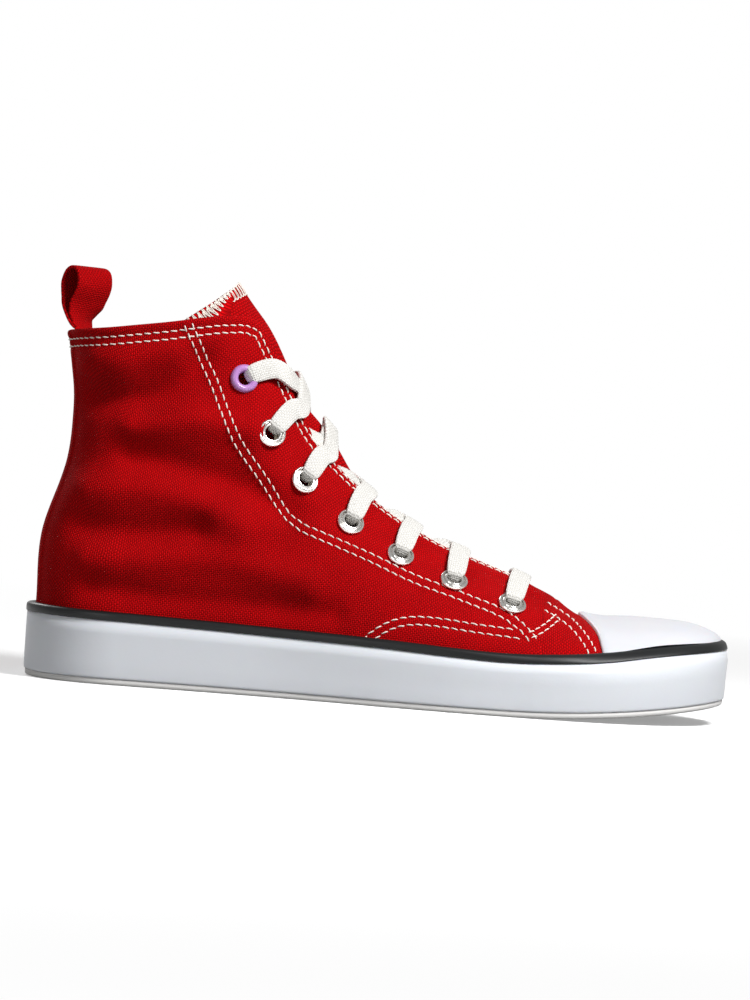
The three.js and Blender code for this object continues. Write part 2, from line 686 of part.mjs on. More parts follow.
// ---- Eyelets ----
function eyeletRing() {
  const { bore, barrel, flange, washer, seat, tall, sheet, roll } = EYELET;
  const inside = -CANVAS - seat;
  const profile = [
    [bore, inside - sheet],
    [washer, inside - sheet],
    [washer, inside],
    [barrel, inside],
    [barrel, seat],
    [flange, seat],
    [flange - sheet, seat + tall * roll],
    [bore + roll, seat + tall],
    [bore, seat],
    [bore, inside - sheet],
  ];
  const outline = profile.map(([radius, height]) => new THREE.Vector2(radius, height));
  return new THREE.LatheGeometry(outline, 12).rotateX(Math.PI / 2);
}

// ---- The assembly ----
const finish = (name, color, roughness, metalness = 0) => {
  return new THREE.MeshStandardMaterial({ name, color, roughness, metalness });
};
const rubber = finish("white_rubber", 0xe4e4e6, 0.45);
const darkRubber = finish("dark_rubber", 0x1e2122, 0.5);
const canvas = finish("red_canvas", 0xa80006, 0.9);
const lining = finish("insole_cloth", 0xd9d4c8, 0.95);
const cotton = finish("white_cotton", 0xeeece6, 0.9);
const nickel = finish("nickel", 0xc9c7c2, 0.3, 1);
const lilac = finish("lilac_enamel", 0xb98cc4, 0.35);

const shoe = new THREE.Group();
const seats = eyeletSeats();
shoe.add(
  meshOf("upper", upper(seats), canvas),
  meshOf("tongue", tongue(), canvas),
  meshOf("toe_cap", toeCap(), rubber),
  meshOf("foxing", foxing(), rubber),
  meshOf("foxing_stripe", stripe(), darkRubber),
  meshOf("outsole", outsole(), rubber),
  meshOf("insole", insole(), lining),
  meshOf("pull_loop", pullLoop(), canvas),
  meshOf("lace_bar", laceBar(seats), cotton),
);
for (let row = 1; row <= EYELETS.length - 2; row++) {
  shoe.add(meshOf(`lace_cross_${row}`, laceCross(seats, row), cotton));
}
for (const { side, row, point, normal } of seats) {
  const name = `eyelet_${side < 0 ? "lateral" : "medial"}_${row}`;
  const ring = solidOf(eyeletRing(), standOn(point, normal, 0));
  shoe.add(meshOf(name, ring, row === 1 ? lilac : nickel));
}

const box = new THREE.Box3().setFromObject(shoe);
const middle = box.getCenter(new THREE.Vector3());
shoe.position.set(-middle.x, -middle.y, -box.min.z);

export default shoe;
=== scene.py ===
# %% [markdown]
# # A canvas high-top sneaker
#
# The solid model already gives every piece its size and place. This notebook dresses it: cloth with
# creases and a weave, sewn seams, a rolled rim, smooth rubber, metal eyelets and laces that run through
# them.
#
# All lengths are millimetres until a mesh is made. x = 0 is the back of the sole and x grows to the toe,
# y grows to the inner side of the foot, and z is up. Side -1 is the outer side of the shoe, +1 the inner.

import bmesh
import bpy
import numpy as np
from mathutils import Matrix, Vector


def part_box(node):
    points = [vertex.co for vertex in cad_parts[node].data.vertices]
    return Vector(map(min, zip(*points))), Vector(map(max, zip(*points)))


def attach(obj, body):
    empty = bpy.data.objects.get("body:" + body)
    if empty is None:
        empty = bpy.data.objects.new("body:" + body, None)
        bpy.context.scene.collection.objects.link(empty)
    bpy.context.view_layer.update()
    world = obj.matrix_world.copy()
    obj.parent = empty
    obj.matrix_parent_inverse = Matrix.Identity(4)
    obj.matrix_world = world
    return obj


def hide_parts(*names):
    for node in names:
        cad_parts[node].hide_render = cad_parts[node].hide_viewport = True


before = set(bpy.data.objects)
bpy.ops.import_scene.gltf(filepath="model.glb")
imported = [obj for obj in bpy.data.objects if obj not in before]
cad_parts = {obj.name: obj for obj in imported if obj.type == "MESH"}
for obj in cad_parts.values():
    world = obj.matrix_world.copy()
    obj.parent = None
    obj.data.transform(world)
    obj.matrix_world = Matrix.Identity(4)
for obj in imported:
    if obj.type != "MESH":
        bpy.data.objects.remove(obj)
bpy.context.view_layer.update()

# %% [markdown]
# ## 1. The form
#
# The upper is a skin of ribs. Each rib climbs from the feather line, where upper meets sole, to the top
# line: the collar, then the throat edge, then the ridge over the toes. q says which rib (0 to 1 round the
# heel, 1 to 2 along the side, 2 to 3 round the toe) and v how far up it. The tables are the shoe's own
# measures.

# %% Driving dimensions
HEEL_X, BALL_X, TOE_X, VAMP_X, RIDGE_END_X = 38, 195, 266.5, 198, 252
TOE_POWER = 2.2  # superellipse power of the toe's outline
TOE_REACH_POWER = 1.335  # how the toe's ribs crowd toward the tip of the ridge
ROUND_OVER = (85, 120)  # x where the ribs' tops turn from upright to lying over the instep
TOE_SPRING, HEEL_SPRING = (180, 90, 8.6), (12, 0.8)  # where the sole lifts, over what length, how high
CANVAS, LAYER_GAP, CAP_WALL, FOXING = 1.8, 0.85, 1.6, 2.8
CAP_START_Q = 2.21
STRIPE_TALL, STRIPE_PROUD, TREAD_TALL, TREAD_DEEP = 3.5, 0.4, 2.2, 1.3
INSOLE_THICK, TONGUE_THICK = 4.0, 2.2
UP = np.array([0, 0.15, 0.36, 0.6, 0.82, 1])
HEEL_BACK = np.array([33.8, 33.9, 33.6, 25.9, 25.3, 28.9])
TOE_INWARD = np.array([0, -0.02, -0.02, 0.02, 0.21, 1])


def columns(names, *rows):
    """A table as named columns."""
    return {name: np.array([row[i] for row in rows], float) for i, name in enumerate(names.split())}


SECTIONS = columns(
    "x centre lateral medial low waist ankle high",
    (38, 0.0, 29.5, 29.5, 30.3, 29.0, 26.0, 27.2),
    (60, 0.2, 30.2, 28.4, 31.0, 30.6, 27.9, 28.0),
    (80, 0.3, 31.3, 27.1, 32.0, 31.6, 27.8, 23.2),
    (100, 0.5, 33.5, 27.1, 34.2, 33.6, 30.0, 22.5),
    (120, 1.0, 37.5, 29.5, 38.2, 37.4, 32.5, 23.0),
    (140, 1.5, 42.0, 34.0, 42.6, 41.4, 35.5, 24.5),
    (165, 2.1, 46.4, 39.2, 47.0, 45.5, 38.5, 27.0),
    (195, 2.5, 48.1, 41.7, 48.6, 46.8, 40.0, 28.0),
)
LEVELS = columns(
    "x feather stripe",
    (0, 12.6, 28.4), (10, 12.2, 28.1), (46, 12.0, 27.5), (100, 12.0, 26.3), (140, 11.3, 25.3),
    (165, 10.8, 24.2), (182, 10.7, 23.7), (201, 11.3, 24.4), (221, 12.8, 26.2), (242, 15.4, 29.6),
    (268, 19.4, 33.0),
)
TOP_LINE = columns(
    "x z half",
    (9, 131.9, 0), (26, 133.4, 28), (38, 135.2, 30.5), (50, 137.2, 31), (60, 139.3, 29.5),
    (70, 141, 25.5), (79, 140.9, 19), (82.5, 138.8, 15.5), (86, 133, 14.2), (90, 126.2, 13.6),
    (102, 103, 12), (115, 88, 10), (131, 75, 7.8), (154, 61.9, 5.8), (177, 53.6, 4.7), (190, 49, 4.2),
    (196, 46.6, 3), (198, 45.9, 0), (203, 43.8, 0), (207, 40.9, 0), (211, 38.5, 0), (216, 37.3, 0),
    (234, 36.8, 0), (243, 36.7, 0), (252, 36.3, 0),
)
TONGUE = columns(
    "x z wide deep reach",
    (72.5, 155.8, 26, 42, 69), (79, 147.4, 25.5, 43, 67), (86, 138, 24.5, 44, 65),
    (95, 122.4, 21.5, 46, 62), (100, 113.4, 19, 49, 64), (108, 104.2, 17, 53, 66), (114, 96.8, 16.5, 54, 66),
    (120, 87.8, 17.5, 50, 63), (127, 78.4, 20.5, 40, 57), (132, 73.6, 22.5, 36, 54),
    (150, 61.8, 24, 32, 52), (170, 52.6, 26, 29, 48),
    (190, 45.6, 28, 27, 42), (202, 40.4, 28, 26, 36),
)
EYELETS = columns(
    "x z", (77.9, 118.9), (89.4, 98.7), (103.3, 82), (121.8, 67.3), (141.6, 56.4), (162.5, 48.1),
    (184.9, 40.9),
)
print("width at the ball, mm:", SECTIONS["lateral"][-1] + SECTIONS["medial"][-1])
print(len(EYELETS["x"]), "eyelets a side")

# %% [markdown]
# Every function below takes whole arrays, so a surface of tens of thousands of points is one call.


# %% Interpolation
def mix(a, b, t):
    return a + (b - a) * t


def ease(x, start, end):
    t = np.clip((x - start) / (end - start), 0, 1)
    return t * t * (3 - 2 * t)


def unit(vectors):
    return vectors / np.linalg.norm(vectors, axis=-1, keepdims=True)


def along(table, column, x):
    """A smooth curve through one column of a table."""
    xs, ys = table["x"], table[column]
    x = np.clip(x, xs[0], xs[-1])
    i = np.clip(np.searchsorted(xs, x) - 1, 0, len(xs) - 2)
    step = np.diff(xs)
    slope = np.diff(ys) / step
    inner = (slope[:-1] * step[1:] + slope[1:] * step[:-1]) / (step[:-1] + step[1:])
    bend = np.concatenate([slope[:1], inner, slope[-1:]])
    t = (x - xs[i]) / step[i]
    start = ys[i] * (1 + 2 * t) * (1 - t) ** 2 + bend[i] * step[i] * t * (1 - t) ** 2
    return start + ys[i + 1] * t * t * (3 - 2 * t) - bend[i + 1] * step[i] * t * t * (1 - t)


def centre(x):
    return along(SECTIONS, "centre", x)


# %% [markdown]
# A shoe is drawn on a last, a solid foot shape given by sections along its length. Sculpting could make
# it too. Sections from a table keep every later seam, stitch and eyelet in the same measures. The heel
# and the toe are quarter turns, and the side between them runs straight through the sections.

# %% The ribs
def half_widths(side, x, top_half):
    """Half widths of a rib's six levels."""
    lateral = along(SECTIONS, "lateral", x)
    feather = np.where(side < 0, lateral, along(SECTIONS, "medial", x))
    inner = [
        along(SECTIONS, level, x) * mix(feather / lateral, 1, up)
        for level, up in zip(("low", "waist", "ankle", "high"), UP[1:5])
    ]
    return np.stack([feather, *inner, top_half + 0 * x])


def by_part(q, heel, middle, toe):
    return np.where(q < 1, heel, np.where(q <= 2, middle, toe))


def turns(q):
    """How far round the heel's and the toe's quarter turns."""
    return np.clip(q, 0, 1) * np.pi / 2, np.clip(q - 2, 0, 1) * np.pi / 2


def feather_point(side, q):
    heel, toe = turns(q)
    x = mix(HEEL_X, BALL_X, np.clip(q - 1, 0, 1))
    ball = half_widths(side, BALL_X + 0 * q, 0)[0]
    toe_x = BALL_X + (TOE_X - BALL_X) * np.sin(toe) ** (2 / TOE_POWER)
    toe_y = centre(BALL_X) + side * ball * np.maximum(np.cos(toe), 0) ** (2 / TOE_POWER)
    along_x = by_part(q, HEEL_X - HEEL_BACK[0] * np.cos(heel), x, toe_x)
    heel_y = side * SECTIONS["lateral"][0] * np.sin(heel)
    return along_x, by_part(q, heel_y, centre(x) + side * half_widths(side, x, 0)[0], toe_y)


def rib_levels(side, q):
    """The six points that each rib passes through."""
    base_x, base_y = feather_point(side, q)
    base_z = along(LEVELS, "feather", base_x)
    up, back = UP[:, None], HEEL_BACK[:, None]
    heel, _ = turns(q)
    half = half_widths(side, HEEL_X + 0 * q, along(TOP_LINE, "half", HEEL_X))
    heel_top = along(TOP_LINE, "z", HEEL_X - HEEL_BACK[-1] * np.cos(heel))
    heel_rib = [HEEL_X - back * np.cos(heel), side * half * np.sin(heel), mix(base_z, heel_top, up)]
    top_x = base_x + (VAMP_X - BALL_X) * np.clip(q - 1, 0, 1) ** 2
    half = half_widths(side, base_x, along(TOP_LINE, "half", top_x))
    x = mix(base_x, top_x, up)
    side_rib = [x, centre(x) + side * half, mix(base_z, along(TOP_LINE, "z", top_x), up)]
    reach = np.maximum((base_x - BALL_X) / (TOE_X - BALL_X), 0) ** TOE_REACH_POWER
    ridge_x = mix(VAMP_X, RIDGE_END_X, reach)
    half = half_widths(side, BALL_X + 0 * q, 0)
    share = mix(1 - half / half[0], TOE_INWARD[:, None], ease(q, 2, 3))
    toe_rib = [mix(base_x, ridge_x, share), mix(base_y, centre(ridge_x), share)]
    toe_rib.append(mix(base_z, along(TOP_LINE, "z", ridge_x), up))
    return np.stack([by_part(q, *parts) for parts in zip(heel_rib, side_rib, toe_rib)], -1)


def ridge_slope(x):
    return (along(TOP_LINE, "z", x + 1) - along(TOP_LINE, "z", x - 1)) / 2


# %% [markdown]
# Every piece sits on the form or beside it. These functions give a point anywhere on a rib, which way is
# out, and the rib's place for a height or for a spot seen from the side. The last has no formula, so it
# is found in small steps.

# %% Points and normals on the form
def form_point(side, q, v):
    """A smooth curve through the rib's levels, upright at the feather line."""
    side, q, v = (np.ravel(a).astype(float) for a in np.broadcast_arrays(side, q, v))
    levels = rib_levels(side, q)
    first, second, fourth, top = levels[0], levels[1], levels[4], levels[5]
    before = np.stack([second[:, 0], second[:, 1], 2 * first[:, 2] - second[:, 2]], -1)
    after = 2 * top - fourth
    over = fourth[:, 2] + 2 * ridge_slope(top[:, 0]) * (top[:, 0] - fourth[:, 0])
    after[:, 2] = mix(after[:, 2], over, np.where(q < 1, 0, ease(top[:, 0], *ROUND_OVER)))
    chain = np.concatenate([before[None], levels, after[None]])
    i = np.clip(np.floor(v * 5), 0, 4).astype(int)
    t = (v * 5 - i)[:, None]
    a, b, c, d = (chain[i + k, np.arange(len(q))] for k in range(4))
    curve = 2 * a - 5 * b + 4 * c - d
    return b + (t * (c - a) + t * t * curve + t**3 * (3 * b - a - 3 * c + d)) / 2


def form_normal(side, q, v):
    h = 0.005
    side, q, v = (np.ravel(a).astype(float) for a in np.broadcast_arrays(side, q, v))
    round_about = form_point(side, np.minimum(q + h, 3), v) - form_point(side, np.maximum(q - h, 0), v)
    upward = form_point(side, q, np.minimum(v + h, 1)) - form_point(side, q, np.maximum(v - h, 0))
    normal = np.cross(round_about, upward) * -side[:, None]
    normal[(q <= 0) | (q >= 3), 1] = 0
    ridge = (q >= 2) & (v > 1 - h)
    slope = ridge_slope(form_point(side, q, 1)[:, 0])
    normal[ridge] = np.stack([-slope, 0 * slope, 1 + 0 * slope], -1)[ridge]
    return unit(normal)


def rib_at_height(side, q, z):
    """v where each rib reaches a height."""
    low, high = 0 * q, 0.95 + 0 * q
    for _ in range(22):
        middle = (low + high) / 2
        below = form_point(side, q, middle)[:, 2] < z
        low, high = np.where(below, middle, low), np.where(below, high, middle)
    return low


def beside(side, q, z, out):
    """A point beside the form at a height, pushed out square to the feather line."""
    x, _ = feather_point(side, q)
    v = np.where(z > along(LEVELS, "feather", x), rib_at_height(side, q, z), 0)
    skin = form_point(side, q, v)
    x1, y1 = feather_point(side, np.maximum(q - 0.005, 0))
    x2, y2 = feather_point(side, np.minimum(q + 0.005, 3))
    away = unit(np.stack([-side * (y2 - y1), side * (x2 - x1)], -1))
    away[q <= 0], away[q >= 3] = (-1, 0), (1, 0)
    return np.column_stack([skin[:, :2] + away * np.reshape(out, (-1, 1)), z + 0 * q])


def ground(x):
    """Height of the sole's underside: it curves up at the toe, and a little at the heel's back."""
    start, run, high = TOE_SPRING
    toe = high * np.maximum((x - start) / run, 0) ** 2
    return toe + HEEL_SPRING[1] * np.maximum(1 - x / HEEL_SPRING[0], 0) ** 2


def settle(side, q, v, target, seen_from_side=True):
    """Moves q and v until the form passes as near as it can to each target point."""
    used = [0, 2] if seen_from_side else [0, 1, 2]
    h = 1e-3
    for _ in range(14):
        here = form_point(side, q, v)
        by_q = ((form_point(side, q + h, v) - here) / h)[:, used]
        by_v = ((form_point(side, q, v + h) - here) / h)[:, used]
        miss = (target - here)[:, used]
        qq, vv, qv = (by_q**2).sum(1), (by_v**2).sum(1), (by_q * by_v).sum(1)
        mq, mv = (by_q * miss).sum(1), (by_v * miss).sum(1)
        det = qq * vv - qv**2
        q = np.clip(q + (vv * mq - qv * mv) / det, 0.002, 2.99)
        v = np.clip(v + (qq * mv - qv * mq) / det, 0.002, 0.996)
    return q, v


def seen_at(side, path):
    """q and v of the points seen at x, z from the side."""
    x, z = np.asarray(path, float).T
    first_q = 1 + (x - HEEL_X) / (BALL_X - HEEL_X)
    return settle(side + 0 * x, first_q, 0.6 + 0 * x, np.column_stack([x, 0 * x, z]))


# %% [markdown]
# The solid model's zero is under the middle of the shoe, and the form's is at the back of the sole. The
# shift is measured from the solid outsole and pull loop, so that both models agree.

# %% Where the form's zero lies in the row's frame
SOLE_BACK = 1.15
sole_low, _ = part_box("outsole")
loop_low, loop_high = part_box("pull_loop")
SHIFT = np.array([1000 * sole_low.x - SOLE_BACK, 500 * (loop_low.y + loop_high.y), 0])
upper_low, upper_high = (1000 * np.array(corner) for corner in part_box("upper"))
print("shift, mm:", SHIFT.round(3))
form_back = (HEEL_X - HEEL_BACK.max() + SHIFT[0]).round(2)
print("upper's back:", upper_low[0].round(2), "and the form's:", form_back)

# %% [markdown]
# ## 2. Meshes and materials
#
# A net is a grid of points, rows by columns. One function makes its faces and one makes the piece: it
# welds corners that share a spot, keeps a map in millimetres for the weave, and hangs the piece on the
# frame.


# %% Nets and pieces
def faces_of(rows, cols, ring=False, loop=False):
    """Faces of a net. ring joins its last column to its first, loop its last row to its first."""
    r = np.arange(rows if loop else rows - 1)[:, None]
    c = np.arange(cols if ring else cols - 1)[None, :]
    up, on = (r + 1) % rows, (c + 1) % cols
    return np.stack([r * cols + c, r * cols + on, up * cols + on, up * cols + c], -1).reshape(-1, 4)


def lengths(points, axis):
    """Distance along a net from its first row or column."""
    step = np.linalg.norm(np.diff(points, axis=axis), axis=-1)
    start = np.zeros_like(np.take(step, [0], axis))
    return np.concatenate([start, np.cumsum(step, axis)], axis)


def make_piece(name, points, faces, material, stands_for=(), weave=None, extra=None):
    """A mesh piece from points in millimetres. extra is a second material and the faces that take it."""
    points = np.reshape(points, (-1, 3))
    _, first, same = np.unique(points.round(3), axis=0, return_index=True, return_inverse=True)
    same = same.reshape(-1)
    corners, which = [], []
    for number, face in enumerate(np.asarray(faces).tolist()):
        spots = same[face].tolist()
        kept = [c for k, c in enumerate(face) if spots[k] not in spots[:k]]
        if len(kept) > 2:
            corners.append(kept)
            which.append(number)
    mesh = bpy.data.meshes.new(name)
    mesh.from_pydata(((points[first] + SHIFT) / 1000).tolist(), [], [same[c].tolist() for c in corners])
    mesh.polygons.foreach_set("use_smooth", [True] * len(corners))
    mesh.materials.append(material)
    if extra:
        mesh.materials.append(extra[0])
        mesh.polygons.foreach_set("material_index", np.asarray(extra[1])[which].astype(int).tolist())
    if weave is not None:
        layer = mesh.uv_layers.new(name="weave")
        layer.data.foreach_set("uv", np.reshape(weave, (-1, 2))[np.concatenate(corners)].ravel())
    shell = bmesh.new()
    shell.from_mesh(mesh)
    bmesh.ops.recalc_face_normals(shell, faces=shell.faces)
    shell.to_mesh(mesh)
    shell.free()
    piece = bpy.data.objects.new(name, mesh)
    bpy.context.scene.collection.objects.link(piece)
    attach(piece, "root")
    if stands_for:
        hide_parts(*stands_for)
    print(f"{name}: {sum(len(c) - 2 for c in corners)} triangles")
    return piece


def rods(centres, out, wide, thick, sides=6, square=1.0):
    """Many rods or ribbons at once. centres and out are rods by stations; square 1 is round, 3 is flat."""
    stations = centres.shape[1]
    ahead = unit(np.gradient(centres, axis=1))
    across = unit(np.cross(ahead, out))
    out = np.cross(across, ahead)
    angle = np.arange(sides) * 2 * np.pi / sides
    round_off = [np.sign(f) * np.abs(f) ** (1 / square) for f in (np.cos(angle), np.sin(angle))]
    half = [
        np.broadcast_to(size, centres.shape[:2])[..., None] / 2 * f
        for size, f in zip((wide, thick), round_off)
    ]
    points = centres[:, :, None] + across[:, :, None] * half[0][..., None]
    points = points + out[:, :, None] * half[1][..., None]
    one = faces_of(stations, sides, ring=True)
    ends = (0, (stations - 1) * sides)
    caps = np.array([[r, r + k, r + k + 1, r + k + 2] for r in ends for k in range(1, sides - 2, 2)])
    one = np.concatenate([one, caps])
    starts = np.arange(len(centres)) * stations * sides
    faces = (one[None] + starts[:, None, None]).reshape(-1, 4)
    down = np.broadcast_to(lengths(centres, 1)[..., None], half[0].shape)
    return points, faces, np.stack([half[0], down], -1)


# %% [markdown]
# A material is a small tree of nodes. One function adds a node with its settings and links, which keeps
# each finish below short.

# %% Colours and nodes
def srgb(chart):
    """A colour as on a paint chart, turned into the renderer's linear values."""
    parts = [int(chart[i : i + 2], 16) / 255 for i in (1, 3, 5)]
    return [*(c / 12.92 if c <= 0.04045 else ((c + 0.055) / 1.055) ** 2.4 for c in parts), 1.0]


def add_node(tree, kind, inputs=None, **settings):
    """One node with its settings. An input is a value or the socket that feeds it."""
    node = tree.nodes.new(kind)
    for key, value in settings.items():
        setattr(node, key, value)
    for key, value in (inputs or {}).items():
        if isinstance(value, bpy.types.NodeSocket):
            tree.links.new(value, node.inputs[key])
        else:
            node.inputs[key].default_value = value
    return node


def new_material(name):
    material = bpy.data.materials.new(name)
    material.use_nodes = True
    tree = material.node_tree
    return material, tree, tree.nodes["Principled BSDF"]


def set_values(shader, **values):
    for key, value in values.items():
        shader.inputs[key.replace("_", " ")].default_value = value


# %% [markdown]
# Canvas is a plain weave. Along the map, U and V count threads. cos(2U) is the ridge of each upright
# thread and cos(2V) of each cross thread. cos(U)cos(V) changes sign from one crossing to the next, so it
# picks which thread lies on top. The bump's distance is the real height of a thread, in metres. The
# colour follows the threads as well: a painted highlight on their tops and painted shade in the dips
# between them.


# %% Woven cloth
def woven(name, deep, bright, thread, height, fuzz, highlight_shade_contrast=0.6, rough=0.92, sheen=0.25):
    """Cloth whose threads lie thread mm apart and stand height mm. Dips get painted shade in the colour
    deep, tops a painted highlight in the colour bright.
    """
    material, tree, shader = new_material(name)
    turn = np.pi / thread
    place = add_node(tree, "ShaderNodeUVMap", uv_map="weave").outputs[0]
    cloud = lambda scale, detail: add_node(
        tree, "ShaderNodeTexNoise", {"Vector": place, "Scale": scale, "Detail": detail}
    ).outputs
    wander = cloud(0.35, 2.0)["Color"]
    shaken = add_node(
        tree, "ShaderNodeVectorMath", {0: wander, 1: (0.9, 0.9, 0.0), 2: place}, operation="MULTIPLY_ADD"
    ).outputs[0]
    parted = add_node(tree, "ShaderNodeSeparateXYZ", {0: shaken})
    calc = lambda kind, *values: add_node(
        tree, "ShaderNodeMath", dict(enumerate(values)), operation=kind
    ).outputs[0]
    ridge, switch = [], []
    for axis in range(2):
        count = calc("MULTIPLY", parted.outputs[axis], turn)
        switch.append(calc("COSINE", count))
        ridge.append(calc("COSINE", calc("MULTIPLY", count, 2.0)))
    picked = calc("MULTIPLY_ADD", calc("MULTIPLY", *switch), 0.5, 0.5)
    top = calc("MULTIPLY_ADD", calc("SUBTRACT", *ridge), picked, ridge[1])
    lift = calc("MULTIPLY_ADD", top, 0.5, 0.5)
    crown_highlight = calc("MULTIPLY", calc("MULTIPLY_ADD", ridge[0], 0.5, 0.5), picked)
    hair = cloud(2.2, 3.0)["Fac"]
    fibre = calc("MULTIPLY_ADD", hair, fuzz, lift)
    broad = cloud(0.06, 4.0)["Fac"]
    uneven = calc("MULTIPLY_ADD", hair, 0.25, calc("MULTIPLY", broad, 0.35))
    # painted highlight on the thread tops and painted shade in the dips, plus tone that differs at random
    tone = calc("MULTIPLY_ADD", crown_highlight, highlight_shade_contrast, uneven)
    tone = add_node(tree, "ShaderNodeClamp", {"Value": tone}).outputs[0]
    colours = {"Factor": tone, 6: srgb(deep), 7: srgb(bright)}
    colour = add_node(tree, "ShaderNodeMix", colours, data_type="RGBA")
    bump = add_node(tree, "ShaderNodeBump", {"Height": fibre, "Distance": height / 1000, "Strength": 1.0})
    tree.links.new(colour.outputs[2], shader.inputs["Base Color"])
    tree.links.new(bump.outputs[0], shader.inputs["Normal"])
    set_values(shader, Roughness=rough, Sheen_Weight=sheen, Sheen_Roughness=0.5, Specular_IOR_Level=0.08)
    shader.inputs["Sheen Tint"].default_value = srgb(bright)
    return material


# In each cloth below, the first colour is painted shade in the dips between threads, the second the thread
# tops with a painted highlight.
# Dyed cotton canvas, plain woven: each thread is a bundle of short hairs, so it is dull, with little gloss.
# Real threads lie near 0.6 mm apart. They are drawn at 0.74 mm so that they show.
RED_CANVAS = woven(
    "red_cotton_canvas", "#5a0002", "#d4040a", 0.74, height=0.3, fuzz=0.3, highlight_shade_contrast=1.15, sheen=0.01
)
# Undyed cotton, woven finer and left loose: pale, flat and a little downy.
LINING = woven("natural_cotton_lining", "#b9ae9a", "#e2d9c8", 0.7, height=0.1, fuzz=0.5)
# Cotton cloth glued to the insole's foam: pressed nearly flat, so its weave is faint.
INSOLE = woven("insole_cloth", "#b7b0a2", "#dcd6c9", 0.9, height=0.08, fuzz=0.6)
# Bleached cotton lace, woven flat from thick soft threads: white on top, with painted grey shade between
# them.
LACE = woven("white_cotton_lace", "#c6c3bc", "#fdfcf9", 0.85, height=0.24, fuzz=0.8, sheen=0.05)
# Twisted sewing thread: tight and smooth, so it is less rough than cloth. Its twist repeats every 0.35 mm.
THREAD = woven(
    "cream_sewing_thread", "#ece3d8", "#fffaf2", 0.35, height=0.05, fuzz=0.6, rough=0.7, sheen=0.05
)
print("woven:", [cloth.name for cloth in (RED_CANVAS, LINING, INSOLE, LACE, THREAD)])

# %% [markdown]
# These have no weave. Each is one colour with a very shallow grain in the surface, and a gloss that
# varies a little from place to place, because no moulded or plated face is perfectly even.

# %% Rubber, metal and enamel
def moulded(name, chart, rough, grain, size=1.1, **values):
    """A smooth solid finish. grain and size are the height and width of its unevenness, in millimetres."""
    material, tree, shader = new_material(name)
    place = add_node(tree, "ShaderNodeTexCoord").outputs["Object"]
    cloud = lambda scale, detail: add_node(
        tree, "ShaderNodeTexNoise", {"Vector": place, "Scale": scale, "Detail": detail}
    ).outputs["Fac"]
    fine, broad = cloud(1000 / size, 2.0), cloud(35.0, 3.0)
    bump = add_node(tree, "ShaderNodeBump", {"Height": fine, "Distance": grain / 1000, "Strength": 1.0})
    spread = add_node(
        tree, "ShaderNodeMapRange", {"Value": broad, "To Min": rough - 0.06, "To Max": rough + 0.08}
    ).outputs[0]
    tree.links.new(bump.outputs[0], shader.inputs["Normal"])
    tree.links.new(spread, shader.inputs["Roughness"])
    set_values(shader, Base_Color=srgb(chart), **values)
    return material


# Rubber pressed in a polished mould: smooth, softly glossy, and light sinks in a little.
CAP_RUBBER = moulded("toe_cap_rubber", "#d2d2d7", 0.42, 0.02, Subsurface_Weight=0.08)
# Rubber rolled into a strip and cured on the shoe: satin, with soft broad highlights.
SIDE_RUBBER = moulded("foxing_rubber", "#e2e2e7", 0.45, 0.02, Subsurface_Weight=0.08)
# Rubber pressed in a blasted mould: fine grain, so it is duller than the sides.
SOLE_RUBBER = moulded("outsole_rubber", "#d9d8d6", 0.6, 0.04)
# Black rubber strip laid on before curing: dark, with a weak satin gleam.
DARK_RUBBER = moulded("dark_stripe_rubber", "#0b0d0e", 0.4, 0.01, Specular_IOR_Level=0.3)
# Stamped brass, nickel plated and tumbled: a bright metal whose reflections are slightly soft.
NICKEL = moulded("polished_nickel", "#dcdad6", 0.16, 0.01, size=4, Metallic=1.0)
# Enamel stoved on a stamped ring: an even colour under a thin clear gloss.
ENAMEL = moulded("lilac_enamel", "#b884c6", 0.3, 0.01, size=4, Coat_Weight=0.3)
solids = (CAP_RUBBER, SIDE_RUBBER, SOLE_RUBBER, DARK_RUBBER, NICKEL, ENAMEL)
print("solid finishes:", [finish.name for finish in solids])

# %% [markdown]
# ## 3. Seams and creases
#
# Seams are paths seen from the side. A crease is a soft ridge or trough along a path. Sculpting or a
# cloth simulation could also make them, but a path with a height and a width stays easy to read and to
# move.


# %% Paths
def smooth_path(points, count):
    """A smooth curve through points, spaced evenly."""
    points = np.asarray(points, float)
    chain = np.concatenate([[2 * points[0] - points[1]], points, [2 * points[-1] - points[-2]]])
    at = np.linspace(0, len(points) - 1, 12 * len(points))
    i = np.clip(np.floor(at), 0, len(points) - 2).astype(int)
    t = (at - i)[:, None]
    a, b, c, d = (chain[i + k] for k in range(4))
    curve = b + (t * (c - a) + t * t * (2 * a - 5 * b + 4 * c - d) + t**3 * (3 * b - a - 3 * c + d)) / 2
    return spaced(curve, count)


def spaced(curve, count):
    reach = lengths(curve, 0)
    at = np.linspace(0, reach[-1], count)
    return np.column_stack([np.interp(at, reach, column) for column in curve.T])


def offset(path, distance):
    """A path seen from the side, moved to its right by a distance."""
    ahead = unit(np.gradient(path, axis=0))
    return path + distance * np.column_stack([ahead[:, 1], -ahead[:, 0]])


def distance_to(path, x, z):
    """Distance from points to a path seen from the side, positive on the path's right."""
    start, step = path[:-1], np.diff(path, axis=0)
    to_x, to_z = x[:, None] - start[:, 0], z[:, None] - start[:, 1]
    t = np.clip((to_x * step[:, 0] + to_z * step[:, 1]) / (step**2).sum(1), 0, 1)
    off = np.hypot(to_x - t * step[:, 0], to_z - t * step[:, 1])
    nearest = off.argmin(1)[:, None]
    turn = np.take_along_axis(step[:, 1] * to_x - step[:, 0] * to_z, nearest, 1)[:, 0]
    return np.where(turn < 0, -1, 1) * np.take_along_axis(off, nearest, 1)[:, 0]


